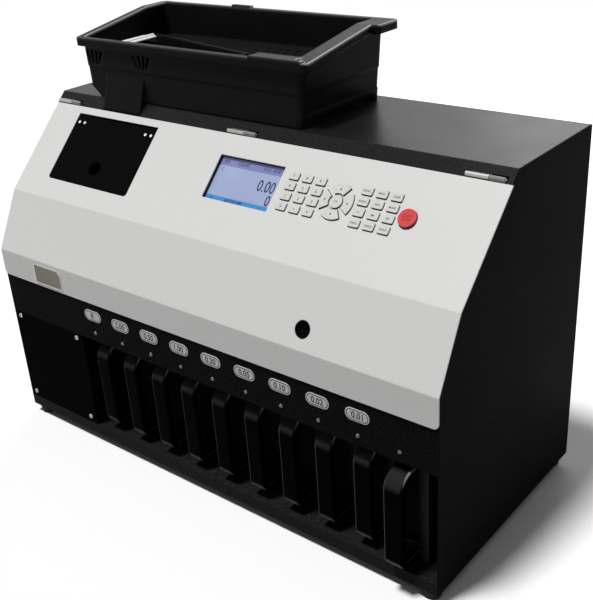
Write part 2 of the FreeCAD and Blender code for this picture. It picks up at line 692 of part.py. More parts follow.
def key_places():
    """Every key as its name, outline, place on the facet and height above it."""
    keys = []
    digit_names = ("7", "8", "9", "4", "5", "6", "1", "2", "3", "0", "point", "enter")
    for number, label in enumerate(digit_names):
        x = DIGIT_FIRST_X + KEY_PITCH_X * (number % KEY_COLUMNS)
        down = KEY_FIRST_DOWN + KEY_PITCH_DOWN * (number // KEY_COLUMNS)
        keys.append(("key_digit_" + label, key_rectangle, x, down, KEY_PROUD))
        x = FUNCTION_FIRST_X + KEY_PITCH_X * (number % KEY_COLUMNS)
        keys.append((f"key_function_{number + 1:02d}", key_rectangle, x, down, KEY_PROUD))
    for label, turn in (("right", 0), ("up", 90), ("left", 180), ("down", 270)):
        keys.append(("key_arrow_" + label, key_sector(turn), ARROW_X, ARROW_DOWN, KEY_PROUD))
    keys.append(("key_ok", key_disc(OK_RADIUS), ARROW_X, ARROW_DOWN, KEY_PROUD))
    keys.append(("key_stop", key_disc(STOP_RADIUS), STOP_X, STOP_DOWN, STOP_PROUD))
    return keys


def key_cap(outline, x, down, proud):
    """A rubber key: a cap through the cover and a brim that keeps it behind the cover."""
    cap = outline(0, BRIM_BOTTOM, proud)
    rim = [edge for edge in cap.Edges if edge.BoundBox.ZMin > proud - 1e-3]
    cap = cap.makeFillet(KEY_EDGE_RADIUS, rim)
    key = fuse([cap, outline(KEY_BRIM, BRIM_BOTTOM, BRIM_TOP)])
    key.translate(Vector(x, -down, 0))
    return on_upper(key)


def key_hole(outline, x, down):
    hole = outline(KEY_CLEARANCE, -COVER_SHEET - OVERCUT, OVERCUT)
    hole.translate(Vector(x, -down, 0))
    return on_upper(hole)


def front_cover():
    """The sloping sheet cover with its openings, hinge barrels and flap carriers."""
    top = along(SEAM, UPPER_ANGLE, -SEAM_GAP)
    path = [top, MID_HIGH, LIP_HIGH, LIP_LOW]
    cover = prism_x(sheet_outline(path, COVER_SHEET), -HALF_WIDTH, HALF_WIDTH)
    inner = offset_path(path, COVER_SHEET)
    cover = cover.makeFillet(BEND_RADIUS + COVER_SHEET, edges_along_x(cover, [MID_HIGH, LIP_HIGH]))
    cover = cover.makeFillet(BEND_RADIUS, edges_along_x(cover, inner[1:3]))
    corners = [edge for edge in cover.Edges
               if abs(edge.CenterOfMass.z - LIP_BOTTOM) < 1e-3 and edge.BoundBox.XLength < 1e-3]
    cover = cover.makeFillet(LIP_CORNER_RADIUS, corners)
    window = box(LCD_LEFT, LCD_LEFT + LCD_WIDTH, -LCD_DOWN - LCD_HEIGHT, -LCD_DOWN, -OVERCUT, OVERCUT)
    finger = rod(COVER_HOLE_RADIUS, Vector(COVER_HOLE_X, -COVER_HOLE_DOWN, -OVERCUT),
                 Vector(0, 0, 1), 2 * OVERCUT)
    cuts = [on_upper(window), on_upper(flap_opening(0, 0, -OVERCUT, OVERCUT)), on_middle(finger)]
    cuts += [key_hole(outline, x, down) for name, outline, x, down, proud in key_places()]
    return fuse([cover.cut(cuts)] + cover_barrels() + flap_carriers())


def display_module():
    """The display's frame behind its window; the glass lies in a shallow recess."""
    right = LCD_LEFT + LCD_WIDTH
    low = -LCD_DOWN - LCD_HEIGHT
    frame = box(LCD_LEFT - LCD_RIM, right + LCD_RIM, low - LCD_RIM, -LCD_DOWN + LCD_RIM,
                -COVER_SHEET - LCD_THICKNESS, -COVER_SHEET)
    recess = box(LCD_LEFT, right, low, -LCD_DOWN, -COVER_SHEET - LCD_RECESS, OVERCUT)
    return on_upper(frame.cut(recess))


def control_board():
    """The circuit board behind the keys, on posts against the cover."""
    x0 = LCD_LEFT + LCD_WIDTH + LCD_RIM + BOARD_DISPLAY_GAP
    x1 = STOP_X + STOP_RADIUS + BOARD_MARGIN
    top = -KEY_FIRST_DOWN + KEY_HEIGHT / 2 + BOARD_MARGIN
    low = -KEY_FIRST_DOWN - (KEY_ROWS - 1) * KEY_PITCH_DOWN - KEY_HEIGHT / 2 - BOARD_MARGIN
    pieces = [box(x0, x1, low, top, BOARD_TOP - BOARD_SHEET, BOARD_TOP)]
    inset = BOARD_POST_RADIUS
    for x in (x0 + inset, x1 - inset):
        for y in (low + inset, top - inset):
            pieces.append(rod(BOARD_POST_RADIUS, Vector(x, y, BOARD_TOP - BOARD_SHEET), Vector(0, 0, 1),
                              -COVER_SHEET - BOARD_TOP + BOARD_SHEET))
    return on_upper(fuse(pieces))


def drawer_handle():
    """An upright loop, rounded at its front corners, on the drawer's front."""
    back = DRAWER_FRONT + DRAWER_FRONT_WALL - DRAWER_WALL / 2
    half = HANDLE_WIDTH / 2
    loop = box(-half, half, HANDLE_FACE, back, HANDLE_BOTTOM, HANDLE_TOP)
    loop = loop.makeFillet(HANDLE_TOP_RADIUS, edges_along_x(loop, [(HANDLE_FACE, HANDLE_TOP)]))
    loop = loop.makeFillet(HANDLE_BOTTOM_RADIUS, edges_along_x(loop, [(HANDLE_FACE, HANDLE_BOTTOM)]))
    outline = [edge for edge in loop.Edges
               if edge.BoundBox.XLength < 1e-3 and edge.BoundBox.YMax < back - 1e-3]
    arms = [edge for edge in loop.Edges
            if edge.BoundBox.XLength < 1e-3 and edge.BoundBox.YLength > HANDLE_REACH / 4
            and edge.BoundBox.ZLength < 1e-3]
    loop = loop.makeFillet(HANDLE_EDGE_RADIUS, outline + arms)
    gap_low = HANDLE_BOTTOM + HANDLE_THICKNESS
    gap_high = HANDLE_TOP - HANDLE_THICKNESS
    gap_face = HANDLE_FACE + HANDLE_THICKNESS
    gap = box(-half - OVERCUT, half + OVERCUT, gap_face, back + OVERCUT, gap_low, gap_high)
    gap = gap.makeFillet(HANDLE_TOP_RADIUS - HANDLE_THICKNESS, edges_along_x(gap, [(gap_face, gap_high)]))
    gap = gap.makeFillet(HANDLE_BOTTOM_RADIUS - HANDLE_THICKNESS, edges_along_x(gap, [(gap_face, gap_low)]))
    return loop.cut(gap)


def coin_drawer(x, pull):
    """An open-topped coin box with a hollowed front and a loop handle."""
    half = DRAWER_WIDTH / 2
    back = DRAWER_FRONT + DRAWER_LENGTH
    shell = rounded_box(-half, half, DRAWER_FRONT, back, DRAWER_FLOOR, DRAWER_TOP, DRAWER_CORNER_RADIUS)
    inside = box(-half + DRAWER_WALL, half - DRAWER_WALL, DRAWER_FRONT + DRAWER_FRONT_WALL, back - DRAWER_WALL,
                 DRAWER_FLOOR + DRAWER_WALL, DRAWER_TOP + OVERCUT)
    bend = ((DRAWER_SCOOP_WIDTH / 2) ** 2 + DRAWER_SCOOP ** 2) / (2 * DRAWER_SCOOP)
    scoop = rod(bend, Vector(0, DRAWER_FRONT + DRAWER_SCOOP - bend, DRAWER_FLOOR - OVERCUT),
                Vector(0, 0, 1), DRAWER_HEIGHT + 2 * OVERCUT)
    drawer = fuse([shell.cut([inside, scoop]), drawer_handle()])
    drawer.translate(Vector(x, -pull, 0))
    return drawer


def sorting_deck():
    """The deck under the cover: coin holes, a fence behind them and a ring round the feed disc."""
    deck = box(-INNER_X, INNER_X, DECK_FRONT, DEPTH - SHEET, RAIL_TOP, DECK_TOP)
    centre = Vector(DISC_X, DISC_Y, RAIL_TOP)
    ring_radius = DISC_RADIUS + RING_GAP
    height = DECK_SHEET + RING_HEIGHT
    ring = rod(ring_radius + RING_WALL, centre, Vector(0, 0, 1), height)
    ring = ring.cut(rod(ring_radius, centre, Vector(0, 0, 1), height))
    gate = box(DISC_X - RING_GATE / 2, DISC_X + RING_GATE / 2, DISC_Y - ring_radius - RING_WALL - OVERCUT,
               DISC_Y, DECK_TOP, DECK_TOP + RING_HEIGHT + OVERCUT)
    fence_y = COIN_HOLE_Y + COIN_HOLE_LENGTH / 2
    fence = box(DISC_X + RING_GATE / 2, DRAWER_XS[-1] + COIN_HOLE_WIDTH / 2, fence_y,
                fence_y + FENCE_SHEET, DECK_TOP - DECK_SHEET / 2, DECK_TOP + FENCE_HEIGHT)
    cuts = [rod(SHAFT_RADIUS + FIT, centre - Vector(0, 0, OVERCUT), Vector(0, 0, 1), DECK_SHEET + 2 * OVERCUT)]
    for x in DRAWER_XS:
        cuts.append(coin_hole(x, 0, RAIL_TOP - OVERCUT, DECK_TOP + OVERCUT))
    return fuse([deck, ring.cut(gate), fence]).cut(cuts)


def coin_hole(x, grow, z0, z1):
    half_x = COIN_HOLE_WIDTH / 2 + grow
    half_y = COIN_HOLE_LENGTH / 2 + grow
    return box(x - half_x, x + half_x, COIN_HOLE_Y - half_y, COIN_HOLE_Y + half_y, z0, z1)


def coin_chutes():
    """Upright ducts from the deck's holes to just above the drawers."""
    low = DRAWER_TOP + CHUTE_ABOVE_DRAWER
    chutes = []
    for x in DRAWER_XS:
        inside = coin_hole(x, 0, low - OVERCUT, RAIL_TOP + OVERCUT)
        chutes.append(coin_hole(x, CHUTE_WALL, low, RAIL_TOP).cut(inside))
    return group(chutes)


def feed_motor():
    """The gear motor hung under the deck, bored for the disc's shaft."""
    half = MOTOR_FLANGE / 2
    flange = box(DISC_X - half, DISC_X + half, DISC_Y - half, DISC_Y + half,
                 RAIL_TOP - MOTOR_FLANGE_SHEET, RAIL_TOP)
    body = rod(MOTOR_RADIUS, Vector(DISC_X, DISC_Y, RAIL_TOP), Vector(0, 0, -1), MOTOR_HEIGHT)
    bore = rod(SHAFT_RADIUS + RUNNING_CLEARANCE, Vector(DISC_X, DISC_Y, RAIL_TOP + OVERCUT),
               Vector(0, 0, -1), SHAFT_GRIP + FIT + OVERCUT)
    return fuse([flange, body]).cut(bore)


def feed_disc():
    """The turning plate that spreads coins to its edge, with ribs, a hub cone and its shaft."""
    centre = Vector(DISC_X, DISC_Y, DISC_BOTTOM)
    up = Vector(0, 0, 1)
    pieces = [rod(DISC_RADIUS, centre, up, DISC_SHEET)]
    pieces.append(Part.makeCone(DISC_HUB_RADIUS, DISC_HUB_TOP_RADIUS, DISC_HUB_HEIGHT,
                                centre + up * DISC_SHEET, up))
    for number in range(DISC_RIB_COUNT):
        rib = box(DISC_HUB_RADIUS / 2, DISC_RADIUS - DISC_RIB_WIDTH, -DISC_RIB_WIDTH / 2, DISC_RIB_WIDTH / 2,
                  0, DISC_SHEET + DISC_RIB_HEIGHT)
        rib.rotate(Vector(0, 0, 0), up, 360 / DISC_RIB_COUNT * number)
        rib.translate(centre)
        pieces.append(rib)
    top = DISC_BOTTOM + DISC_SHEET / 2
    foot = RAIL_TOP - SHAFT_GRIP
    pieces.append(rod(SHAFT_RADIUS, Vector(DISC_X, DISC_Y, foot), up, top - foot))
    return fuse(pieces)


def switch_pivot():
    return Vector(INLET_X + SWITCH_OFFSET, SWITCH_PIVOT_Y, INLET_Z)


def power_unit():
    """The supply box on the base, and the inlet module in the rear panel with its socket."""
    supply = box(SUPPLY_LEFT, SUPPLY_LEFT + SUPPLY_WIDTH, SUPPLY_FRONT, SUPPLY_FRONT + SUPPLY_LENGTH,
                 BASE_HEIGHT, BASE_HEIGHT + SUPPLY_HEIGHT)
    face = DEPTH + INLET_FLANGE
    flange = box(INLET_X - INLET_FLANGE_WIDTH / 2, INLET_X + INLET_FLANGE_WIDTH / 2, DEPTH, face,
                 INLET_Z - INLET_FLANGE_HEIGHT / 2, INLET_Z + INLET_FLANGE_HEIGHT / 2)
    body = box(INLET_X - INLET_BODY_WIDTH / 2, INLET_X + INLET_BODY_WIDTH / 2, DEPTH - INLET_BODY_DEPTH, DEPTH,
               INLET_Z - INLET_BODY_HEIGHT / 2, INLET_Z + INLET_BODY_HEIGHT / 2)
    socket_x = INLET_X + SOCKET_OFFSET
    socket = box(socket_x - SOCKET_WIDTH / 2, socket_x + SOCKET_WIDTH / 2, face - SOCKET_DEPTH, face + OVERCUT,
                 INLET_Z - SOCKET_HEIGHT / 2, INLET_Z + SOCKET_HEIGHT / 2)
    pivot = switch_pivot()
    well_x = SWITCH_WIDTH / 2 + FIT
    well_z = SWITCH_HEIGHT / 2 + 2 * FIT
    well = box(pivot.x - well_x, pivot.x + well_x, face - 2 * SWITCH_DEPTH, face + OVERCUT,
               pivot.z - well_z, pivot.z + well_z)
    reach = well_x + SWITCH_PIVOT_LENGTH
    holes = rod(SWITCH_PIVOT_RADIUS + RUNNING_CLEARANCE, pivot - Vector(reach, 0, 0), Vector(1, 0, 0),
                2 * reach)
    return group([supply, fuse([flange, body]).cut([socket, well, holes])])


def power_switch():
    """The rocker, at rest with its upper half pressed in."""
    half = SWITCH_HEIGHT / 2
    deep = SWITCH_DEPTH / 2
    rise = half * math.tan(SWITCH_TURN)
    outline = [(deep, -half + FIT), (deep - rise, 0), (deep, half - FIT), (0, half - FIT),
               (-deep, half / 2), (-deep, -half / 2), (0, -half + FIT)]
    rocker = prism_x(outline, -SWITCH_WIDTH / 2, SWITCH_WIDTH / 2)
    reach = SWITCH_WIDTH / 2 + SWITCH_PIVOT_LENGTH
    axle = rod(SWITCH_PIVOT_RADIUS, Vector(-reach, 0, 0), Vector(1, 0, 0), 2 * reach)
    rocker = fuse([rocker, axle])
    rocker.rotate(Vector(0, 0, 0), Vector(1, 0, 0), SWITCH_TILT)
    rocker.translate(switch_pivot())
    return rocker


def hopper_ring(rise, grow, taper=0):
    """The hopper's rounded outline at a height above the cabinet's top, grown by a margin."""
    share = rise / HOPPER_RIM_BACK
    x0 = HOPPER_LEFT - HOPPER_FLARE_LEFT * share - grow + taper
    x1 = HOPPER_RIGHT + HOPPER_FLARE_RIGHT * share + grow
    y0 = HOPPER_FRONT - grow
    y1 = HOPPER_BACK + HOPPER_FLARE_BACK * share + grow
    return rounded_wire(x0, x1, y0, y1, HEIGHT + rise, HOPPER_CORNER_RADIUS + grow)


def rounded_wire(x0, x1, y0, y1, z, radius):
    """A rectangle with rounded corners at a height."""
    inset = radius * (1 - math.sqrt(0.5))
    edges = []
    corners = [(x0, y0, 1, 1), (x1, y0, -1, 1), (x1, y1, -1, -1), (x0, y1, 1, -1)]
    arcs = []
    for x, y, in_x, in_y in corners:
        along_x = Vector(x + in_x * radius, y, z)
        along_y = Vector(x, y + in_y * radius, z)
        middle = Vector(x + in_x * inset, y + in_y * inset, z)
        turns_in = in_x == in_y
        ends = (along_y, along_x) if turns_in else (along_x, along_y)
        arcs.append((ends[0], middle, ends[1]))
    for number, (start, middle, end) in enumerate(arcs):
        edges.append(Part.Arc(start, middle, end).toShape())
        edges.append(Part.LineSegment(end, arcs[(number + 1) % 4][0]).toShape())
    return Part.Wire(edges)


def hopper_block(low, high, grow, taper=0):
    """The hopper's flared block between two heights, its foot drawn in at the left."""
    return Part.makeLoft([hopper_ring(low, grow, taper), hopper_ring(high, grow)], True, True)


def hopper_slope():
    """The wedge inside the hopper's left wall, which follows the slope of its foot."""
    left = HOPPER_LEFT + HOPPER_WALL
    floor = HEIGHT + HOPPER_FLOOR
    foot = left + HOPPER_TAPER
    low = HEIGHT - 2 * OVERCUT
    outline = [(left, low), (foot, low), (foot, floor), (left, floor + HOPPER_PLINTH)]
    return prism_y(outline, HOPPER_FRONT, HOPPER_BACK)


def rim_path():
    """The top of the hopper's rim from the rear to the front, as (Y, Z)."""
    back = HEIGHT + HOPPER_RIM_BACK
    front = HEIGHT + HOPPER_RIM_FRONT
    start = RIM_BACK_Y + OVERCUT
    return [(start, back), (HOPPER_RIM_BEND, back), (HOPPER_FRONT, front), (HOPPER_FRONT - 4 * OVERCUT, front)]


def hopper_rim():
    """The turned-out rim, following its sloping sides, with a wider ear at its right rear corner."""
    left = HOPPER_LEFT - HOPPER_FLARE_LEFT - RIM_OVERHANG
    right = HOPPER_RIGHT + HOPPER_FLARE_RIGHT + RIM_OVERHANG
    front = HOPPER_FRONT - RIM_OVERHANG_FRONT
    low = HEIGHT + HOPPER_RIM_FRONT - 2 * RIM_THICKNESS
    high = HEIGHT + HOPPER_RIM_BACK + OVERCUT
    outline = fuse([
        rounded_box(left, right, front, RIM_BACK_Y, low, high, HOPPER_CORNER_RADIUS),
        rounded_box(right - RIM_EAR, right + RIM_EAR, RIM_BACK_Y - RIM_EAR_LENGTH, RIM_BACK_Y, low, high,
                    RIM_EAR / 2),
    ])
    slab = prism_x(sheet_outline(rim_path(), RIM_THICKNESS), left - OVERCUT, right + 2 * RIM_EAR)
    step = box(RIM_STEP_X, right - HOPPER_CORNER_RADIUS, front, HOPPER_FRONT + HOPPER_WALL,
               HEIGHT + HOPPER_RIM_FRONT - RIM_THICKNESS, HEIGHT + HOPPER_RIM_FRONT + RIM_STEP)
    back_top = HEIGHT + HOPPER_RIM_BACK
    tab = box(RIM_TAB_X, RIM_TAB_X + RIM_TAB_LENGTH, RIM_BACK_Y - RIM_TAB_WIDTH, RIM_BACK_Y,
              back_top - RIM_THICKNESS, back_top + RIM_TAB_HEIGHT)
    return fuse([slab.common(outline), step, tab])


def rim_ledge():
    """The flat that the rim's right end turns inwards, along the front step and the sloping side."""
    inner = HOPPER_RIGHT - RIM_LEDGE_SIDE
    outer = HOPPER_RIGHT + HOPPER_WALL
    front = HOPPER_FRONT + HOPPER_WALL / 2
    rim = HEIGHT + HOPPER_RIM_FRONT
    slab = prism_x(sheet_outline(rim_path(), RIM_LEDGE_SHEET), inner, outer)
    side = slab.common(box(inner, outer, front, HOPPER_BACK + HOPPER_WALL / 2, HEIGHT, HEIGHT + 2 * HOPPER_RIM_BACK))
    step = box(RIM_STEP_X, inner + HOPPER_WALL, front, HOPPER_FRONT + RIM_LEDGE_FRONT, rim - RIM_LEDGE_SHEET,
               rim + RIM_STEP)
    return fuse([side, step])


def shelf_edge():
    """The plan line between the coin basin and the perforated shelf."""
    return [(SHELF_LEFT_X, SHELF_LEFT_Y), (SHELF_X, SHELF_Y), (SHELF_X, HOPPER_FRONT + HOPPER_WALL / 2)]


def hopper_tray():
    """The coin hopper: a flared tray with a basin, a perforated shelf and a spout that leans out to the seam."""
    top = HOPPER_RIM_BACK
    body = fuse([
        hopper_block(0, HOPPER_PLINTH, HOPPER_STEP, HOPPER_TAPER),
        hopper_block(HOPPER_PLINTH, HOPPER_TIER, 0),
        hopper_block(HOPPER_TIER, top, HOPPER_STEP),
    ])
    path = rim_path()
    above = prism_x(path + [(path[-1][0], HEIGHT + 2 * top), (path[0][0], HEIGHT + 2 * top)],
                    HOPPER_LEFT - 10 * OVERCUT, HOPPER_RIGHT + 10 * OVERCUT)
    body = fuse([body.cut(above), hopper_rim()])
    shelf = HEIGHT + SHELF_HEIGHT
    left = HOPPER_LEFT + HOPPER_WALL
    right = HOPPER_RIGHT - HOPPER_WALL
    front = HOPPER_FRONT + HOPPER_WALL
    back = HOPPER_BACK - HOPPER_WALL
    mouth = hopper_block(SHELF_HEIGHT, top + 2 * OVERCUT, -HOPPER_WALL)
    basin = prism_z([(left, front), (SHELF_X, front), (SHELF_X, SHELF_Y), (SHELF_LEFT_X, SHELF_LEFT_Y),
                     (left, SHELF_LEFT_Y)], HEIGHT + HOPPER_FLOOR, shelf + OVERCUT)
    ledge = SHELF_X + HOPPER_WALL
    hollow = prism_z([(ledge, front), (right, front), (right, back), (left, back),
                      (left, SHELF_LEFT_Y + HOPPER_WALL), (SHELF_LEFT_X, SHELF_LEFT_Y + HOPPER_WALL),
                      (ledge, SHELF_Y + HOPPER_WALL)], HEIGHT - OVERCUT, shelf - SHELF_SHEET)
    fence = prism_z(sheet_outline(shelf_edge(), HOPPER_WALL), shelf - SHELF_SHEET, shelf + SHELF_FENCE)
    spout_right = SPOUT_LEFT + SPOUT_WIDTH
    spout_back = HOPPER_FRONT + SPOUT_LENGTH
    spout = box(SPOUT_LEFT, spout_right, HOPPER_FRONT, spout_back, SPOUT_BOTTOM, HEIGHT + HOPPER_FLOOR)
    foot_y, foot_z = SEAM[0] + SPOUT_LEAN_GAP, SEAM[1] + SPOUT_LEAN_GAP
    lean = prism_x([(HOPPER_FRONT, HEIGHT + SPOUT_LEAN_RISE), (foot_y, foot_z), (HOPPER_FRONT, foot_z)],
                   SPOUT_LEFT, spout_right)
    bore = box(SPOUT_LEFT + SPOUT_WALL, spout_right - SPOUT_WALL, HOPPER_FRONT + HOPPER_WALL,
               spout_back - SPOUT_WALL, SPOUT_BOTTOM - OVERCUT, HEIGHT + HOPPER_FLOOR + OVERCUT)
    arch = box(right - OVERCUT, HOPPER_RIGHT + HOPPER_FLARE_RIGHT, ARCH_FRONT, ARCH_FRONT + ARCH_LENGTH,
               HEIGHT - OVERCUT, HEIGHT + ARCH_HEIGHT)
    slope = hopper_slope()
    tray = fuse([body.cut([mouth, basin.cut(slope), hollow.cut(slope)]), rim_ledge(), fence, spout, lean])
    return tray.cut([bore, arch] + shelf_holes() + wall_slots())


def shelf_holes():
    """Staggered rows of round holes in the shelf, where dust falls through."""
    low = HEIGHT + SHELF_HEIGHT - SHELF_SHEET - OVERCUT
    holes = []
    for row in range(HOLE_ROWS):
        for column in range(HOLE_COLUMNS):
            x = HOLE_FIRST_X + HOLE_PITCH * (column + (row % 2) / 2)
            y = HOLE_FIRST_Y + HOLE_PITCH * row
            holes.append(rod(HOLE_RADIUS, Vector(x, y, low), Vector(0, 0, 1), SHELF_SHEET + 2 * OVERCUT))
    return holes


def wall_slots():
    """Two fans of tapered slots through the front wall, under the rim."""
    middle = HEIGHT + HOPPER_RIM_FRONT - RIM_THICKNESS - SLOT_BELOW_RIM
    high = SLOT_HEIGHT / 2
    outline = [(-SLOT_FOOT / 2, -high), (SLOT_FOOT / 2, -high), (SLOT_HEAD / 2, high), (-SLOT_HEAD / 2, high)]
    slots = []
    for group_x in SLOT_GROUPS_X:
        for number in range(SLOT_COUNT):
            x = group_x + SLOT_PITCH * (number - (SLOT_COUNT - 1) / 2)
            slot = prism_y(outline, HOPPER_FRONT - OVERCUT, HOPPER_FRONT + HOPPER_WALL + OVERCUT)
            tilt = SLOT_TILT * (1 - 2 * number / (SLOT_COUNT - 1))
            slot.rotate(Vector(0, 0, 0), Vector(0, 1, 0), -tilt)
            slot.translate(Vector(x, 0, middle))
            slots.append(slot)
    return slots


def nodes():
    """Every node's name and shape."""
    made = {
        "base_plate": base_plate(),
        "side_panels": side_panels(),
        "rear_panel": rear_panel(),
        "top_panel": top_panel(),
        "label_rail": label_rail(),
        "service_cover": service_cover(),
        "case_screws": case_screws(),
        "rubber_feet": rubber_feet(),
        "cover_hinges": cover_hinges(),
        "front_cover": front_cover(),
        "inspection_flap": inspection_flap(),
        "display_module": display_module(),
        "control_board": control_board(),
        "sorting_deck": sorting_deck(),
        "coin_chutes": coin_chutes(),
        "feed_motor": feed_motor(),
        "feed_disc": feed_disc(),
        "power_unit": power_unit(),
        "power_switch": power_switch(),
        "hopper_tray": hopper_tray(),
    }
    for name, outline, x, down, proud in key_places():
        made[name] = key_cap(outline, x, down, proud)
    for number, x in enumerate(DRAWER_XS, start=1):
        pull = DRAWER_LAST_PULL if number == DRAWER_COUNT else 0
        made[f"coin_drawer_{number:02d}"] = coin_drawer(x, pull)
    return made


os.makedirs("parts", exist_ok=True)
for node_name, shape in nodes().items():
    shape.translate(-ORIGIN)
    shape.exportStep(f"parts/{node_name}.step")
    print(node_name, shape.isValid(), len(shape.Solids), round(shape.Volume))
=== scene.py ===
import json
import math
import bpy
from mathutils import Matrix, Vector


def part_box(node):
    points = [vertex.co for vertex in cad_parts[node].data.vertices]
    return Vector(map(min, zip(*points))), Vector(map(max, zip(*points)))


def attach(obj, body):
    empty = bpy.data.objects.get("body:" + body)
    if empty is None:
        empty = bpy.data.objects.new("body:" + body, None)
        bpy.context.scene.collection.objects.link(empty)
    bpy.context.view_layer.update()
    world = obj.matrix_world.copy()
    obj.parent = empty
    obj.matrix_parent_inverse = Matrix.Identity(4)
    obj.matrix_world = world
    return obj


bl_info = {
    "name": "Coin sorter dressing",
    "version": (1, 0, 0),
    "blender": (4, 5, 0),
    "location": "3D View > Sidebar > Coin Sorter",
    "description": "Adds a coin sorter's labels, lamps, screen, legends, fittings, finishes and studio",
    "category": "Object",
}

import bpy
from bpy.props import FloatProperty, FloatVectorProperty, PointerProperty
from bpy.types import Operator, Panel, PropertyGroup
from mathutils import Matrix, Vector

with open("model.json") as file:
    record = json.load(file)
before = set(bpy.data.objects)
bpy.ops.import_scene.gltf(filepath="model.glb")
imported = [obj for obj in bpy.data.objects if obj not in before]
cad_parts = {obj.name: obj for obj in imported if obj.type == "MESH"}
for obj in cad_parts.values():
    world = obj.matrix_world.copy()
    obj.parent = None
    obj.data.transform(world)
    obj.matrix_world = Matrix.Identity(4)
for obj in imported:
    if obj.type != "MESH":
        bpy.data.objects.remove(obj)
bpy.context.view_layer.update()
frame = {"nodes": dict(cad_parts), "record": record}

MM = 0.001
UP = Vector((0, 0, 1))
TO_FRONT = Vector((0, -1, 0))
TO_REAR = Vector((0, 1, 0))
TO_RIGHT = Vector((1, 0, 0))
# The cover's upper facet rises at 45 degrees: its directions up the slope and out of the sheet
SLOPE_UP = Vector((0, 1, 1)).normalized()
SLOPE_OUT = Vector((0, -1, 1)).normalized()
# Ways that edges with painted highlights face, halfway between the two faces that meet there
UP_RIGHT = Vector((1, 0, 1)).normalized()
FRONT_LEFT = Vector((-1, -1, 0)).normalized()
FRONT_DOWN = Vector((0, -1, -1)).normalized()

# The least cosine between a face's normal and the way that it faces
FACING = 0.9
# Points this near to the furthest one lie on the same face
FLAT = 0.02 * MM
# Edges that turn by less look smooth
SMOOTH = math.radians(40)
# Coordinates that differ by less are the same
SAME = 0.001 * MM

# Sockets of a Mix node that mixes colours
MIX_FACTOR = 0
MIX_A = 6
MIX_B = 7
MIX_RESULT = 2

# What the rail's labels say, from the first drawer on; the last drawer has none
LABEL_TEXTS = ("R", "2.00", "0.50", "1.00", "0.20", "0.05", "0.10", "0.02", "0.01")
DRAWERS = [f"coin_drawer_{number:02d}" for number in range(1, 11)]
FUNCTION_WORDS = ("DETAIL", "PRINT", "CLEAR", "BATCH", "ADD", "MODE",
                  "+/-", "MR", "SET", "FUNC1", "FUNC2", "FUNC3")
DIGIT_KEYS = ("7", "8", "9", "4", "5", "6", "1", "2", "3", "0")

# Nodes whose finish differs from the one that the record names: lighter or darker copies of the black coat,
# which paint the light and shade that fall on them
NODE_FINISH = {"top_panel": "sheen_top_coat", "service_cover": "shaded_sheet", "base_plate": "lit_tray_coat"}
# A capital's height as a share of the text size in Blender's own font
CAPITAL_SHARE = 0.7

# Thickness of the print on the keys and the rocker, half of it below their faces
LEGEND_THICKNESS = 0.06 * MM
# How far the lowest run of the hopper's rim, above all that is inside, lies below its highest point
RIM_DEPTH = 25.0 * MM
# Middle of the badge from the cover's left end and lower edge
BADGE_IN = 92.7 * MM
BADGE_RISE = 16.75 * MM
# The flap's screws right of the flap's middle, in millimetres, and above it
FLAP_SCREW_XS = (-65.6, -55.9, 57.2, 66.9)
FLAP_SCREW_RISE = 36.0 * MM
# The bracket's fold from the left, rear and top of the hopper
BRACKET_IN = 41.2 * MM
BRACKET_FORWARD = 123.5 * MM
BRACKET_DROP = 36.4 * MM
# The inlet's socket left of the middle of its plate, and how deep its pins stand in it
SOCKET_SHIFT = 10.0 * MM
SOCKET_DEPTH = 17.0 * MM
# Places of the pins from the socket's middle, along X and Z, in millimetres
INLET_PINS = (("earth", 0.0, 2.4), ("left", -7.0, -2.0), ("right", 7.0, -2.0))


def linear(text):
    """A colour written as an sRGB hex value, in linear light."""
    values = []
    for start in (0, 2, 4):
        level = int(text[start:start + 2], 16) / 255
        values.append(level / 12.92 if level <= 0.04045 else ((level + 0.055) / 1.055) ** 2.4)
    return tuple(values)


def per_metre(millimetres):
    """The texture scale whose pattern repeats at a size in millimetres."""
    return 1 / (millimetres * MM)


def shade(colour, share=1.0):
    """A colour, as an sRGB hex value or in linear light, made lighter or darker, with its alpha."""
    levels = linear(colour) if isinstance(colour, str) else colour
    return (*(min(1.0, level * share) for level in levels), 1.0)


def length_setting(name, description, millimetres):
    return FloatProperty(name=name, description=description, default=millimetres * MM, min=0.0,
                         unit="LENGTH", subtype="DISTANCE", precision=4)


def angle_setting(name, description, degrees):
    return FloatProperty(name=name, description=description, default=math.radians(degrees),
                         subtype="ANGLE", unit="ROTATION")


def level_setting(name, description, level, unit="NONE"):
    return FloatProperty(name=name, description=description, default=level, min=0.0, unit=unit)


def colour_setting(name, description, text):
    return FloatVectorProperty(name=name, description=description, default=linear(text), size=3,
                               min=0.0, max=1.0, subtype="COLOR")


class FinishSettings(PropertyGroup):
    """Colours of the machine's own finishes."""
    cabinet: colour_setting("Cabinet", "Black powder coat of the cabinet", "0C0C0D")
    # The top panel's coat is a lighter, glossier copy of the cabinet's, for its painted sheen
    top: colour_setting("Top", "Satin black coat of the top panel", "0E0E0F")
    cover: colour_setting("Cover", "Pale powder coat of the front cover", "DADAD9")
    hopper: colour_setting("Hopper", "Moulded hopper", "181819")
    drawer: colour_setting("Drawers", "Polished drawers and handles", "030304")
    key: colour_setting("Keys", "Tops of the rubber keys", "D2D2D0")
    stop_key: colour_setting("Stop key", "The round red key", "D03637")
    zinc: colour_setting("Zinc", "Plated hinges and screws", "ABABA9")


class LabelSettings(PropertyGroup):
    """Sizes of the oval labels on the rail."""
    length: length_setting("Length", "Length of a label", 30.0)
    height: length_setting("Height", "Height of a label", 14.8)
    thickness: length_setting("Thickness", "How far a label stands off the rail", 0.6)
    text_height: length_setting("Digits", "Height of a label's digits", 7.3)
    rise: length_setting("Rise", "Middle of the labels above the rail's lower edge", 36.0)


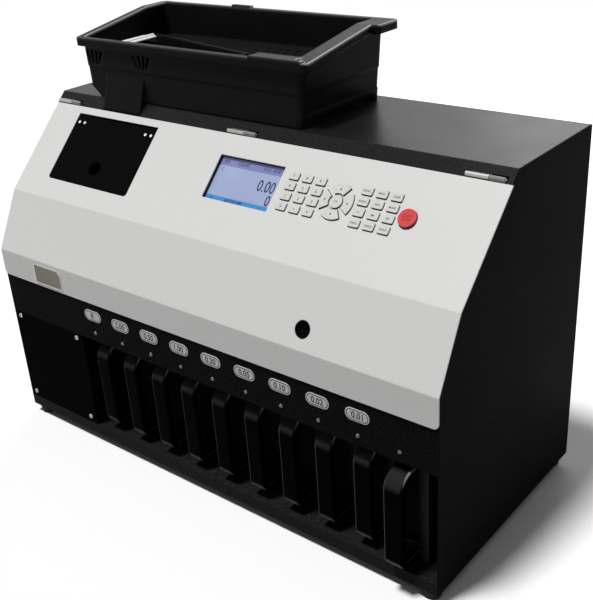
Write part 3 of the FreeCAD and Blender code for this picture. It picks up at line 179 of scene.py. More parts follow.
class LampSettings(PropertyGroup):
    """Sizes of the indicator lamps."""
    radius: length_setting("Radius", "Radius of a lamp's lens", 2.5)
    rise: length_setting("Rise", "Middle of the lamps above the rail's lower edge", 12.2)


class ScreenSettings(PropertyGroup):
    """Size and colours of the display's picture."""
    width: length_setting("Width", "Width of the glass", 94.4)
    height: length_setting("Height", "Height of the glass", 54.0)
    recess: length_setting("Recess", "Depth of the floor under the glass below its frame", 4.2)
    header: length_setting("Header", "Height of the upper bar", 10.4)
    footer: length_setting("Footer", "Height of the lower bar", 6.4)
    field_colour: colour_setting("Field", "Colour of the picture's field", "929DBD")
    header_colour: colour_setting("Header colour", "Colour of the upper bar", "7479A9")
    footer_colour: colour_setting("Footer colour", "Colour of the lower bar", "3481BD")
    digit_colour: colour_setting("Digit colour", "Colour of the large digits", "1B1D55")


class LegendSettings(PropertyGroup):
    """Sizes and colours of what is printed on the keys."""
    digit_height: length_setting("Digits", "Height of the digits on the keys", 3.4)
    word_height: length_setting("Words", "Height of the words on the keys", 2.3)
    arrow: length_setting("Arrows", "Size of the arrows on the keys", 1.5)
    ink: colour_setting("Ink", "Colour of the print", "3A3A3A")
    stop_ink: colour_setting("Stop key ink", "Colour of the print on the red key", "7E1C20")


class FittingSettings(PropertyGroup):
    """Sizes of the small fittings."""
    badge_length: length_setting("Badge length", "Length of the bare badge plate", 52.6)
    badge_height: length_setting("Badge height", "Height of the bare badge plate", 26.0)
    flap_screw: length_setting("Flap screws", "Radius of the flap's screw heads", 2.0)
    bracket_length: length_setting("Bracket length", "Length of the steel bracket in the hopper", 62.0)
    bracket_width: length_setting("Bracket width", "Width of the steel bracket's sloping face", 6.4)
    bracket_foot: length_setting("Bracket foot", "Reach of the bracket's foot to the hopper's wall", 24.0)


class StudioSettings(PropertyGroup):
    """The camera and the light."""
    camera_place: FloatVectorProperty(name="Camera", description="Place of the camera", size=3, subtype="XYZ",
                                      unit="LENGTH", default=(0.71353, -0.78318, 0.72402))
    azimuth: angle_setting("Azimuth", "Turn of the camera about the upright axis", 40.463)
    elevation: angle_setting("Elevation", "How steeply the camera looks down", 26.379)
    roll: angle_setting("Roll", "Turn of the camera about its own line of sight", -3.822)
    lens: FloatProperty(name="Lens", description="Focal length for a 36 mm frame", default=57.26, min=1.0,
                        unit="CAMERA")
    sun: level_setting("Sun", "Strength of the light from above", 3.0)
    sheen_power: level_setting("Sheen light", "Power of the soft box that glances off the top", 10.3, "POWER")
    rim_power: level_setting("Rim light", "Power of the soft box that lights the hopper's rim", 9.0, "POWER")
    ambient: level_setting("Ambient", "Strength of the even light from all round", 0.12)
    floor: colour_setting("Floor", "Colour of the floor", "FCFCFC")
    floor_glow: colour_setting("Floor glow", "Colour in which the floor lights the machine", "A8A8A8")


class CoinSorterSettings(PropertyGroup):
    """All that can be changed on the machine."""
    finish: PointerProperty(type=FinishSettings)
    label: PointerProperty(type=LabelSettings)
    lamp: PointerProperty(type=LampSettings)
    screen: PointerProperty(type=ScreenSettings)
    legend: PointerProperty(type=LegendSettings)
    fitting: PointerProperty(type=FittingSettings)
    studio: PointerProperty(type=StudioSettings)


def add_node(tree, kind, values=None, links=None, **settings):
    """Adds a node with its settings and input values, and links other nodes' outputs to its inputs."""
    node = tree.nodes.new(kind)
    for name, value in settings.items():
        setattr(node, name, value)
    for socket, value in (values or {}).items():
        node.inputs[socket].default_value = value
    for socket, output in (links or {}).items():
        tree.links.new(output, node.inputs[socket])
    return node


def new_tree(name):
    """An empty material, its node tree and the coordinates that its patterns read."""
    material = bpy.data.materials.new(name)
    material.use_nodes = True
    tree = material.node_tree
    tree.nodes.clear()
    return material, tree, add_node(tree, "ShaderNodeTexCoord").outputs


def mottle(tree, at, size, first, second, detail=2.0):
    """A cloudy pattern of a size in millimetres, and the tone that it gives between two colours."""
    cloud = add_node(tree, "ShaderNodeTexNoise", {"Scale": per_metre(size), "Detail": detail}, {"Vector": at})
    tone = add_node(tree, "ShaderNodeMix", {MIX_A: first, MIX_B: second},
                    {MIX_FACTOR: cloud.outputs["Fac"]}, data_type="RGBA")
    return cloud.outputs["Fac"], tone.outputs[MIX_RESULT]


def reach_along(tree, vector, way, start, end):
    """How far a vector goes along a direction, from zero at the start to one at the end."""
    reach = add_node(tree, "ShaderNodeVectorMath", {1: way}, {0: vector}, operation="DOT_PRODUCT")
    ramp = add_node(tree, "ShaderNodeMapRange", {"From Min": start, "From Max": end},
                    {"Value": reach.outputs["Value"]})
    return ramp.outputs["Result"]


def close_tree(tree, values, links, bumps=None, depth=0.0, strength=1.0):
    """Ends a material with its shader, and with bumps of a depth in millimetres if their links are given."""
    if bumps:
        skin = add_node(tree, "ShaderNodeBump", {"Strength": strength, "Distance": depth * MM}, bumps)
        links = {**links, "Normal": skin.outputs["Normal"]}
    shader = add_node(tree, "ShaderNodeBsdfPrincipled", values, links)
    add_node(tree, "ShaderNodeOutputMaterial", {}, {"Surface": shader.outputs["BSDF"]})


def close_uneven(tree, values, tone, pattern, low, high, **skin):
    """Ends a material with a tone and its bumps, whose roughness follows a pattern between two levels."""
    gloss = add_node(tree, "ShaderNodeMapRange", {"To Min": low, "To Max": high}, {"Value": pattern})
    close_tree(tree, values, {"Base Color": tone, "Roughness": gloss.outputs["Result"]}, **skin)


def powder_coat(name, colour, fleck, grain, relief, roughness, specular, zinc=None, hinge_line=0.0):
    """Polyester powder coat on folded sheet steel, baked to a pebbled skin that rounds the folds.
    The real grain is about half a millimetre and is drawn coarser, so that it shows. Where zinc is given,
    what lies above a line up the cover's slope was masked from the coat and is bare plate."""
    material, tree, place = new_tree(name)
    at = place["Object"]
    specks = add_node(tree, "ShaderNodeTexNoise", {"Scale": per_metre(grain), "Detail": 2.0}, {"Vector": at})
    spread = add_node(tree, "ShaderNodeMapRange", {"From Min": 0.35, "From Max": 0.75},
                      {"Value": specks.outputs["Fac"]})
    tone = add_node(tree, "ShaderNodeMix", {MIX_A: shade(colour), MIX_B: shade(fleck)},
                    {MIX_FACTOR: spread.outputs["Result"]}, data_type="RGBA")
    if zinc:
        masked = reach_along(tree, at, SLOPE_UP, hinge_line - 0.2 * MM, hinge_line)
        tone = add_node(tree, "ShaderNodeMix", {MIX_B: shade(zinc, 0.55)},
                        {MIX_FACTOR: masked, MIX_A: tone.outputs[MIX_RESULT]}, data_type="RGBA")
    fold = add_node(tree, "ShaderNodeBevel", {"Radius": 0.8 * MM}, samples=4)
    cloud = add_node(tree, "ShaderNodeTexNoise", {"Scale": per_metre(70.0)}, {"Vector": at})
    close_uneven(tree, {"Specular IOR Level": specular}, tone.outputs[MIX_RESULT], cloud.outputs["Fac"],
                 roughness - 0.06, roughness + 0.06, depth=relief,
                 bumps={"Height": specks.outputs["Fac"], "Normal": fold.outputs["Normal"]})
    return material


def moulded_plastic(name, colour, grain, relief, roughness, specular, painted_edge_highlights=(), above=0.0, edge_radius=0.9):
    """ABS moulded in a steel tool: an even colour with faint flow clouds, the tool's fine grain and its
    broken edges. Above a height, edges that face given ways get painted highlights and reflections,
    each way in its own colour."""
    material, tree, place = new_tree(name)
    at = place["Object"]
    flow, tone = mottle(tree, at, 45.0, shade(colour, 0.85), shade(colour, 1.2))
    grit = add_node(tree, "ShaderNodeTexNoise", {"Scale": per_metre(grain), "Detail": 2.0}, {"Vector": at})
    edge = add_node(tree, "ShaderNodeBevel", {"Radius": edge_radius * MM}, samples=6)
    if painted_edge_highlights:
        highlight_zone = reach_along(tree, at, UP, above - 1.0 * MM, above)
    for way, pale in painted_edge_highlights:
        # Two faces that meet square are each at 0.7, so only the turn between them gets the painted highlight
        turn = reach_along(tree, edge.outputs["Normal"], way, 0.76, 0.93)
        highlight_share = add_node(tree, "ShaderNodeMath", {}, {0: turn, 1: highlight_zone}, operation="MULTIPLY")
        highlighted = add_node(tree, "ShaderNodeMix", {MIX_B: shade(pale)},
                        {MIX_FACTOR: highlight_share.outputs["Value"], MIX_A: tone}, data_type="RGBA")
        tone = highlighted.outputs[MIX_RESULT]
    close_uneven(tree, {"Specular IOR Level": specular}, tone, flow, roughness * 0.8, roughness * 1.2,
                 depth=relief, bumps={"Height": grit.outputs["Fac"], "Normal": edge.outputs["Normal"]})
    return material


def brushed_metal(name, colour, streak, roughness, stretch=(1.0, 1.0, 1.0)):
    """Sheet or turned metal with the fine lines of its brushing, drawn coarser than life to show."""
    material, tree, place = new_tree(name)
    drawn = add_node(tree, "ShaderNodeMapping", {"Scale": stretch}, {"Vector": place["Object"]})
    lines, tone = mottle(tree, drawn.outputs["Vector"], streak, shade(colour, 0.78), shade(colour, 1.08), 4.0)
    close_uneven(tree, {"Metallic": 1.0}, tone, lines, roughness - 0.1, roughness + 0.1,
                 bumps={"Height": lines}, depth=0.02, strength=0.6)
    return material


def silicone_key(name, colour, side, foot):
    """Moulded silicone with a sprayed top: matt and pale above and thinner on its sides, with painted
    shade on the sides that face down the slope."""
    material, tree, place = new_tree(name)
    sprayed = reach_along(tree, place["Normal"], SLOPE_OUT, 0.25, 0.75)
    # The sides that face down the slope get the dark last colour as painted shade
    bare = reach_along(tree, place["Normal"], SLOPE_UP, -0.2, -0.6)
    wall = add_node(tree, "ShaderNodeMix", {MIX_A: shade(side), MIX_B: shade(foot)}, {MIX_FACTOR: bare},
                    data_type="RGBA")
    dust, top = mottle(tree, place["Object"], 1.6, shade(colour, 0.94), shade(colour, 1.05), 3.0)
    tone = add_node(tree, "ShaderNodeMix", {},
                    {MIX_FACTOR: sprayed, MIX_A: wall.outputs[MIX_RESULT], MIX_B: top}, data_type="RGBA")
    close_tree(tree, {"Roughness": 0.52, "Specular IOR Level": 0.35},
               {"Base Color": tone.outputs[MIX_RESULT]}, bumps={"Height": dust}, depth=0.03)
    return material


def foot_rubber():
    """Moulded nitrile rubber: black and dull, paler where dust has settled in its pores."""
    material, tree, place = new_tree("nitrile_rubber")
    pores, tone = mottle(tree, place["Object"], 1.5, shade("0C0C0C"), shade("1C1C1B"), 4.0)
    close_tree(tree, {"Roughness": 0.85, "Specular IOR Level": 0.3}, {"Base Color": tone},
               bumps={"Height": pores}, depth=0.08)
    return material


def circuit_board():
    """Glass-epoxy board under green solder mask, with paler copper tracks showing through."""
    material, tree, place = new_tree("solder_mask")
    tracks = add_node(tree, "ShaderNodeTexBrick",
                      {"Scale": per_metre(20.0), "Mortar Size": 0.03, "Brick Width": 0.9, "Row Height": 0.22,
                       "Color1": shade("0F5A32"), "Color2": shade("0C4C2A"),
                       "Mortar": shade("2C8A57")},
                      {"Vector": place["Object"]})
    close_tree(tree, {"Roughness": 0.3}, {"Base Color": tracks.outputs["Color"]})
    return material


def lamp_lens():
    """Clear epoxy over an unlit chip: a dark grey bead with a cloudy middle and a hard highlight."""
    material, tree, place = new_tree("lamp_epoxy")
    _, tone = mottle(tree, place["Object"], 2.5, shade("1C1C1C"), shade("4A4A49"))
    close_tree(tree, {"Roughness": 0.12, "Coat Weight": 1.0, "Transmission Weight": 0.2},
               {"Base Color": tone})
    return material


def lit_glass(name, colour, glow):
    """A backlit liquid-crystal panel: an even glow, faintly uneven, with the lines between its dots.
    The real dots are a fifth of a millimetre and are drawn coarser, so that they show."""
    material, tree, place = new_tree(name)
    _, tone = mottle(tree, place["Object"], 60.0, shade(colour, 0.86), shade(colour, 1.12))
    dots = add_node(tree, "ShaderNodeTexBrick",
                    {"Scale": per_metre(1.0), "Mortar Size": 0.06, "Brick Width": 1.0, "Row Height": 1.0,
                     "Color1": (1.0, 1.0, 1.0, 1.0), "Color2": (0.98, 0.98, 0.98, 1.0),
                     "Mortar": (0.9, 0.9, 0.92, 1.0)},
                    {"Vector": place["Object"]}, offset=0.0)
    picture = add_node(tree, "ShaderNodeMix", {MIX_FACTOR: 1.0}, {MIX_A: tone, MIX_B: dots.outputs["Color"]},
                       data_type="RGBA", blend_type="MULTIPLY")
    close_tree(tree, {"Roughness": 0.22, "Specular IOR Level": 0.3, "Emission Strength": glow},
               {"Base Color": picture.outputs[MIX_RESULT], "Emission Color": picture.outputs[MIX_RESULT]})
    return material


def printing_ink(name, colour, roughness=0.6):
    """Screen-printed ink or foil: thin and dull, a little uneven where the screen let less through."""
    material, tree, place = new_tree(name)
    _, tone = mottle(tree, place["Object"], 1.2, shade(colour, 0.85), shade(colour, 1.2))
    close_tree(tree, {"Roughness": roughness, "Specular IOR Level": 0.3}, {"Base Color": tone})
    return material


def shown_rays(tree):
    """One for rays that show a surface, straight or in metal and glass, and zero for those that light."""
    path = add_node(tree, "ShaderNodeLightPath").outputs
    shown = path["Is Camera Ray"]
    for kind in ("Is Glossy Ray", "Is Transmission Ray"):
        either = add_node(tree, "ShaderNodeMath", {}, {0: shown, 1: path[kind]}, operation="MAXIMUM")
        shown = either.outputs["Value"]
    return shown


def studio_floor(colour, glow):
    """A matt paper floor, faintly uneven, which is white to the eye and lights the machine a little less."""
    material, tree, place = new_tree("studio_paper")
    _, paper = mottle(tree, place["Object"], 400.0, shade(colour, 0.99), shade(colour))
    tone = add_node(tree, "ShaderNodeMix", {MIX_A: shade(glow)}, {MIX_FACTOR: shown_rays(tree), MIX_B: paper},
                    data_type="RGBA")
    close_tree(tree, {"Roughness": 0.9, "Specular IOR Level": 0.0}, {"Base Color": tone.outputs[MIX_RESULT]})
    return material


def node_finishes(finish):
    """The material for each finish that the frame's record names, and for the finishes of NODE_FINISH."""
    hinge_line = min(vertex.co.dot(SLOPE_UP) for vertex in frame["nodes"]["cover_hinges"].data.vertices)
    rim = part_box("hopper_tray")[1].z - RIM_DEPTH
    # Painted highlights on the hopper's rim: a pale band on edges that face out of the slope, standing for
    # sheen, and a white line on edges that face up and right, standing for the glint of the light
    hopper_painted_highlights = ((SLOPE_OUT, "343435"), (UP_RIGHT, "FCFCFC"))
    # Painted highlights and reflections on the handles' edges: the top bends, the front left edges, the upper
    # right corners and the lower bends
    drawer_painted_highlights = ((SLOPE_OUT, "2A2A2B"), (FRONT_LEFT, "4A4A4B"),
                    (UP_RIGHT, "8A8A8B"), (FRONT_DOWN, "6A6A6B"))
    # Name, colour, fleck, grain and relief in millimetres, roughness and specular level
    coats = {
        "black_powder_coat": ("black_powder_coat", finish.cabinet, "1E1E1F", 2.2, 0.2, 0.45, 0.004),
        # A lighter, glossier copy of the cabinet's coat, for the painted sheen on the top panel
        "sheen_top_coat": ("satin_black_powder_coat", finish.top, "222223", 2.2, 0.12, 0.32, 0.08),
        # A lighter copy of the cabinet's coat, as painted light on the base plate
        "lit_tray_coat": ("tray_powder_coat", "161617", "2A2A2B", 2.2, 0.2, 0.45, 0.01),
        "white_powder_coat": ("white_powder_coat", finish.cover, "D6D6D5", 1.8, 0.06, 0.5, 0.3,
                              finish.zinc, hinge_line),
        "black_sheet": ("satin_black_paint", "080809", "121213", 1.4, 0.02, 0.4, 0.004),
        # A darker, duller copy of the black sheet, as painted shade on the recessed service cover
        "shaded_sheet": ("matt_black_paint", "080809", "0E0E0F", 1.4, 0.02, 0.5, 0.001),
    }
    # Name, colour, grain and relief in millimetres, roughness, specular level and the painted edge highlights
    plastics = {
        "display_frame": ("display_frame_abs", "15151C", 1.5, 0.02, 0.45, 0.2),
        "black_moulding": ("satin_abs", "111112", 1.2, 0.03, 0.45, 0.4),
        "disc_plastic": ("grey_nylon", "3A3A3C", 1.5, 0.05, 0.5, 0.4),
        "hopper_plastic": ("spark_eroded_abs", finish.hopper, 1.8, 0.05, 0.3, 0.022, hopper_painted_highlights, rim, 4.5),
        "drawer_plastic": ("polished_abs", finish.drawer, 9.0, 0.03, 0.2, 0.004, drawer_painted_highlights),
    }
    # Name, colour, streaks in millimetres, roughness and how far the streaks are drawn out
    metals = {
        "plated_steel": ("zinc_plate", finish.zinc, 1.2, 0.34, (0.1, 1.0, 1.0)),
        "brushed_steel_deck": ("brushed_stainless", "B9B9B8", 1.0, 0.32, (0.04, 1.0, 1.0)),
        "motor_housing": ("cast_aluminium", "9A9A9C", 2.5, 0.5),
    }
    # Name and the colours of top, sides and the painted shade on the sides that face down the slope
    keys = {
        "key_rubber": ("sprayed_silicone", finish.key, "8A8A88", "121211"),
        "red_key": ("sprayed_red_silicone", finish.stop_key, "A63032", "2A0A0B"),
    }
    finishes = {"black_rubber": foot_rubber(), "circuit_board": circuit_board()}
    for make, table in ((powder_coat, coats), (moulded_plastic, plastics), (brushed_metal, metals),
                        (silicone_key, keys)):
        finishes.update({slot: make(*values) for slot, values in table.items()})
    return finishes


def select_only(*pieces):
    """Selects pieces and nothing else."""
    bpy.ops.object.select_all(action="DESELECT")
    for piece in pieces:
        piece.select_set(True)
    bpy.context.view_layer.objects.active = pieces[0]


def named(name):
    """Names the object that an operator has just added."""
    piece = bpy.context.object
    piece.name = name
    piece.data.name = name
    return piece


def settled(name):
    """Names the mesh that an operator has just added, and puts its place and size into the mesh."""
    piece = named(name)
    bpy.ops.object.transform_apply(location=True, rotation=True, scale=True)
    return piece


def add_block(name, size, place=(0, 0, 0)):
    """Adds a block of a size about a place."""
    bpy.ops.mesh.primitive_cube_add(size=1, location=place, scale=size)
    return settled(name)


def open_for_edit(piece, kind, action="DESELECT"):
    """Opens a piece for editing with nothing selected, or with all of it."""
    if bpy.context.mode != "OBJECT":
        close_edit()
    select_only(piece)
    bpy.ops.object.mode_set(mode="EDIT")
    bpy.ops.mesh.select_mode(type=kind)
    bpy.ops.mesh.select_all(action=action)


def close_edit():
    bpy.ops.object.mode_set(mode="OBJECT")


def close_outward():
    """Turns all faces of the piece that is being edited outwards, and ends the editing."""
    bpy.ops.mesh.select_all(action="SELECT")
    bpy.ops.mesh.normals_make_consistent(inside=False)
    close_edit()


def edit_where(piece, kind, elements, test):
    """Opens a piece for editing with those of its elements selected that pass a test."""
    open_for_edit(piece, kind)
    close_edit()
    for element in getattr(piece.data, elements):
        element.select = test(element)
    bpy.ops.object.mode_set(mode="EDIT")


def edit_faces(piece, test):
    """Opens a piece for editing with the faces selected whose middle and normal pass a test."""
    edit_where(piece, "FACE", "polygons", lambda face: test(face.center, face.normal))


def edit_facing(piece, way):
    """Opens a piece for editing with the faces selected that face a way."""
    edit_faces(piece, lambda middle, normal: normal.dot(way) > FACING)


def edit_edges(piece, test):
    """Opens a piece for editing with the edges selected whose two ends pass a test."""
    points = piece.data.vertices
    edit_where(piece, "EDGE", "edges", lambda edge: test(*(points[number].co for number in edge.vertices)))


def edit_points(piece, test):
    """Opens a piece for editing with the points selected that pass a test."""
    edit_where(piece, "VERT", "vertices", lambda point: test(point.co))


def extrude(move):
    """Draws what is selected out by a move."""
    bpy.ops.mesh.extrude_region_move(TRANSFORM_OT_translate={"value": move})


def score(piece, spot, across):
    """Divides the faces of a piece where a plane cuts them."""
    open_for_edit(piece, "FACE", "SELECT")
    bpy.ops.mesh.bisect(plane_co=spot, plane_no=across)
    close_edit()


def add_oval(name, length, height, thickness):
    """Adds a plate with half-round ends."""
    sides = 40
    bpy.ops.mesh.primitive_cylinder_add(vertices=sides, radius=height / 2, depth=thickness,
                                        location=(0, 0, thickness / 2), rotation=(0, 0, math.pi / sides))
    plate = settled(name)
    for side in (1, -1):
        edit_points(plate, lambda point: point.x * side > 0)
        bpy.ops.transform.translate(value=(side * (length - height) / 2, 0, 0))
    close_edit()
    return plate


def assign(piece, number):
    """Gives the selected faces one of the piece's materials."""
    piece.active_material_index = number
    bpy.ops.object.material_slot_assign()


def soften(piece, width):
    """Breaks a piece's sharp edges."""
    select_only(piece)
    bevel = piece.modifiers.new("soft edges", "BEVEL")
    bevel.width = width
    bevel.segments = 2
    bevel.limit_method = "ANGLE"
    bevel.angle_limit = math.radians(50)
    bpy.ops.object.modifier_apply(modifier=bevel.name)
    bpy.ops.object.shade_smooth_by_angle(angle=SMOOTH)


def add_text(name, words, height, thickness, stretch=1.0, weight=0.0, spacing=1.0):
    """Adds words as a thin plate, with their middle at the origin."""
    bpy.ops.object.text_add()
    text = named(name).data
    text.body = words
    text.align_x = "CENTER"
    text.align_y = "CENTER"
    text.size = height / CAPITAL_SHARE
    text.extrude = thickness / 2
    text.offset = weight
    text.space_line = spacing
    text.resolution_u = 3
    bpy.ops.object.convert(target="MESH")
    piece = named(name)
    open_for_edit(piece, "VERT", "SELECT")
    bpy.ops.mesh.remove_doubles(threshold=0.002 * MM)
    close_outward()
    middle = (Vector(piece.bound_box[0]) + Vector(piece.bound_box[6])) / 2
    set_place(piece, Matrix.Diagonal((stretch, 1, 1, 1)) @ Matrix.Translation((-middle.x, -middle.y, 0)))
    return piece


def add_arrow(name, size, thickness, turn):
    """Adds a triangular arrow as a thin plate: turned 0 it points to the right."""
    bpy.ops.mesh.primitive_circle_add(vertices=3, radius=size, fill_type="NGON",
                                      location=(0, 0, -thickness / 2), rotation=(0, 0, turn - math.pi / 2))
    piece = settled(name)
    open_for_edit(piece, "FACE", "SELECT")
    extrude((0, 0, thickness))
    close_outward()
    return piece


def set_place(piece, place):
    """Puts a place into a piece's mesh."""
    select_only(piece)
    piece.matrix_world = place
    bpy.ops.object.transform_apply(location=True, rotation=True, scale=True)


def lay_on(piece, spot, up, out):
    """Lays a piece that was made flat, with X right, Y up and Z outwards, on a spot of a surface."""
    axes = Matrix((up.cross(out), up, out)).transposed()
    set_place(piece, Matrix.Translation(spot) @ axes.to_4x4())


def lay_on_rail(piece, drawer, rise):
    """Lays a piece on the rail, above the middle of a drawer."""
    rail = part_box("label_rail")[0]
    low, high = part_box(drawer)
    lay_on(piece, Vector(((low.x + high.x) / 2, rail.y, rail.z + rise)), UP, TO_FRONT)


def join(pieces):
    """Makes one piece of several; the first gives it its name."""
    select_only(*pieces)
    bpy.ops.object.join()
    return bpy.context.object


def coat(piece, *materials):
    """Gives a piece its materials."""
    piece.data.materials.clear()
    for material in materials:
        piece.data.materials.append(material)


def fit(piece, body, slot, *materials):
    """Gives a piece its materials, if any are given, and its body. The slot, the record's finish, is not
    used.
    """
    if materials:
        coat(piece, *materials)
    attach(piece, body)


def outer_points(node, out):
    """The points of a node that lie furthest out in a direction."""
    points = [vertex.co for vertex in frame["nodes"][node].data.vertices]
    height = max(point.dot(out) for point in points)
    return [point for point in points if point.dot(out) > height - FLAT]


def outer_face(node, out):
    """The middle of the face of a node that lies furthest out in a direction square to X."""
    face = outer_points(node, out)
    middle = out * max(point.dot(out) for point in face)
    for axis in (TO_RIGHT, out.cross(TO_RIGHT)):
        reach = [point.dot(axis) for point in face]
        middle += axis * (min(reach) + max(reach)) / 2
    return middle


class COIN_SORTER_OT_finish_nodes(Operator):
    """Gives every node of the frame its material"""
    bl_idname = "coin_sorter.finish_nodes"
    bl_label = "Finish the frame"

    def execute(self, context):
        finishes = node_finishes(context.scene.coin_sorter.finish)
        for part in frame["record"]["subparts"]:
            node = part["node"]
            coat(frame["nodes"][node], finishes[NODE_FINISH.get(node, part["material_slot"])])
        return {"FINISHED"}


class COIN_SORTER_OT_add_rail_labels(Operator):
    """Adds the oval labels above the drawers"""
    bl_idname = "coin_sorter.add_rail_labels"
    bl_label = "Add the rail's labels"

    def execute(self, context):
        settings = context.scene.coin_sorter.label
        foil = printing_ink("silver_foil", "C2C2C0", 0.4)
        ink = printing_ink("label_ink", "1C1C1C")
        for drawer, words in zip(DRAWERS, LABEL_TEXTS):
            number = drawer[-2:]
            plate = self.add_plate("rail_label_" + number, settings, foil, ink)
            text = add_text("rail_text_" + number, words, settings.text_height, 0.1 * MM,
                            stretch=0.9, weight=0.2 * MM)
            coat(text, ink)
            set_place(text, Matrix.Translation((0, 0, settings.thickness)))
            label = join([plate, text])
            lay_on_rail(label, drawer, settings.rise)
            fit(label, "cabinet", "plated_steel")
        return {"FINISHED"}

    def add_plate(self, name, settings, foil, ink):
        """One oval plate, with a dark line inside its edge."""
        plate = add_oval(name, settings.length, settings.height, settings.thickness)
        coat(plate, foil, ink)
        edit_facing(plate, UP)
        # How far in each step goes, in millimetres, and the material that it leaves inside
        for width, material in ((1.2, 1), (1.0, 0)):
            bpy.ops.mesh.inset(thickness=width * MM)
            assign(plate, material)
        close_edit()
        soften(plate, 0.15 * MM)
        return plate


class COIN_SORTER_OT_add_lamps(Operator):
    """Adds the indicator lamps above the drawers"""
    bl_idname = "coin_sorter.add_lamps"
    bl_label = "Add the lamps"

    def execute(self, context):
        settings = context.scene.coin_sorter.lamp
        lens = lamp_lens()
        for drawer in DRAWERS:
            lamp = self.add_lamp("lamp_" + drawer[-2:], settings.radius)
            lay_on_rail(lamp, drawer, settings.rise)
            fit(lamp, "cabinet", "display_frame", lens)
        return {"FINISHED"}

    def add_lamp(self, name, radius):
        """A domed lens on a short stem that goes through the rail."""
        stem = 1.4 * MM
        flattening = 0.75
        bpy.ops.mesh.primitive_uv_sphere_add(segments=24, ring_count=16, radius=radius)
        lamp = named(name)
        open_for_edit(lamp, "VERT", "SELECT")
        bpy.ops.mesh.bisect(plane_co=(0, 0, 0), plane_no=UP, clear_inner=True)
        edit_edges(lamp, lambda a, b: max(abs(a.z), abs(b.z)) < SAME)
        extrude((0, 0, -stem))
        bpy.ops.mesh.edge_face_add()
        close_outward()
        set_place(lamp, Matrix.Diagonal((1, 1, flattening, 1)))
        bpy.ops.object.shade_smooth_by_angle(angle=SMOOTH)
        return lamp


class COIN_SORTER_OT_add_screen(Operator):
    """Adds the display's glass and what it shows"""
    bl_idname = "coin_sorter.add_screen"
    bl_label = "Add the screen"

    def execute(self, context):
        settings = context.scene.coin_sorter.screen
        glass = self.add_glass(settings, (
            lit_glass("screen_field", settings.field_colour, 0.28),
            lit_glass("screen_header", settings.header_colour, 0.22),
            lit_glass("screen_footer", settings.footer_colour, 0.3)))
        floor = outer_face("display_module", SLOPE_OUT) - SLOPE_OUT * settings.recess
        lay_on(glass, floor, SLOPE_UP, SLOPE_OUT)
        fit(glass, "front_cover", "display_frame")
        self.add_picture(settings, floor)
        return {"FINISHED"}

    def add_glass(self, settings, materials):
        """The glass, divided into its field and its two bars."""
        thick = 0.5 * MM
        glass = add_block("screen_glass", (settings.width, settings.height, thick), (0, 0, thick / 2))
        top = settings.height / 2 - settings.header
        low = settings.footer - settings.height / 2
        for line in (top, low):
            score(glass, (0, line, 0), TO_REAR)
        coat(glass, *materials)
        edit_faces(glass, lambda middle, normal: middle.y > top)
        assign(glass, 1)
        edit_faces(glass, lambda middle, normal: middle.y < low)
        assign(glass, 2)
        close_edit()
        return glass

    def add_picture(self, settings, floor):
        """The digits and words on the glass."""
        right = settings.width / 2
        top = settings.height / 2
        bar = top - settings.header / 2
        foot = settings.footer / 2 - top
        thick = 0.08 * MM
        lift = 0.54 * MM
        blue = printing_ink("screen_digits", settings.digit_colour, 0.3)
        red = printing_ink("screen_red", "8E3050", 0.3)
        # Ink, words, height in millimetres, stretch, weight in millimetres and the place of their middle
        words = {
            "screen_total": (blue, "0.00", 13.6, 0.74, 0.12, right - 17.5 * MM, top - 25.0 * MM),
            "screen_count": (blue, "0", 12.4, 0.74, 0.12, right - 8.0 * MM, top - 40.6 * MM),
            "screen_mode": (blue, "MIX", 4.2, 0.8, 0.0, -right + 9.0 * MM, bar),
            "screen_task": (blue, "COUNT", 4.2, 0.8, 0.05, -right + 34.0 * MM, bar),
            "screen_clock": (blue, "01.01  00:00", 4.2, 0.8, 0.0, right - 19.0 * MM, bar),
            "screen_batch": (blue, "BATCH OFF", 3.8, 0.9, 0.1, -right + 42.0 * MM, foot),
            "screen_page": (blue, "01", 3.8, 0.9, 0.0, -right + 9.0 * MM, foot),
            "screen_sign": (red, "C", 4.6, 0.95, 0.0, -right + 7.0 * MM, bar - 9.6 * MM),
        }
        for name, (ink, body, height, stretch, weight, x, y) in words.items():
            text = add_text(name, body, height * MM, thick, stretch, weight * MM)
            spot = floor + TO_RIGHT * x + SLOPE_UP * y + SLOPE_OUT * lift
            lay_on(text, spot, SLOPE_UP, SLOPE_OUT)
            fit(text, "front_cover", "display_frame", ink)


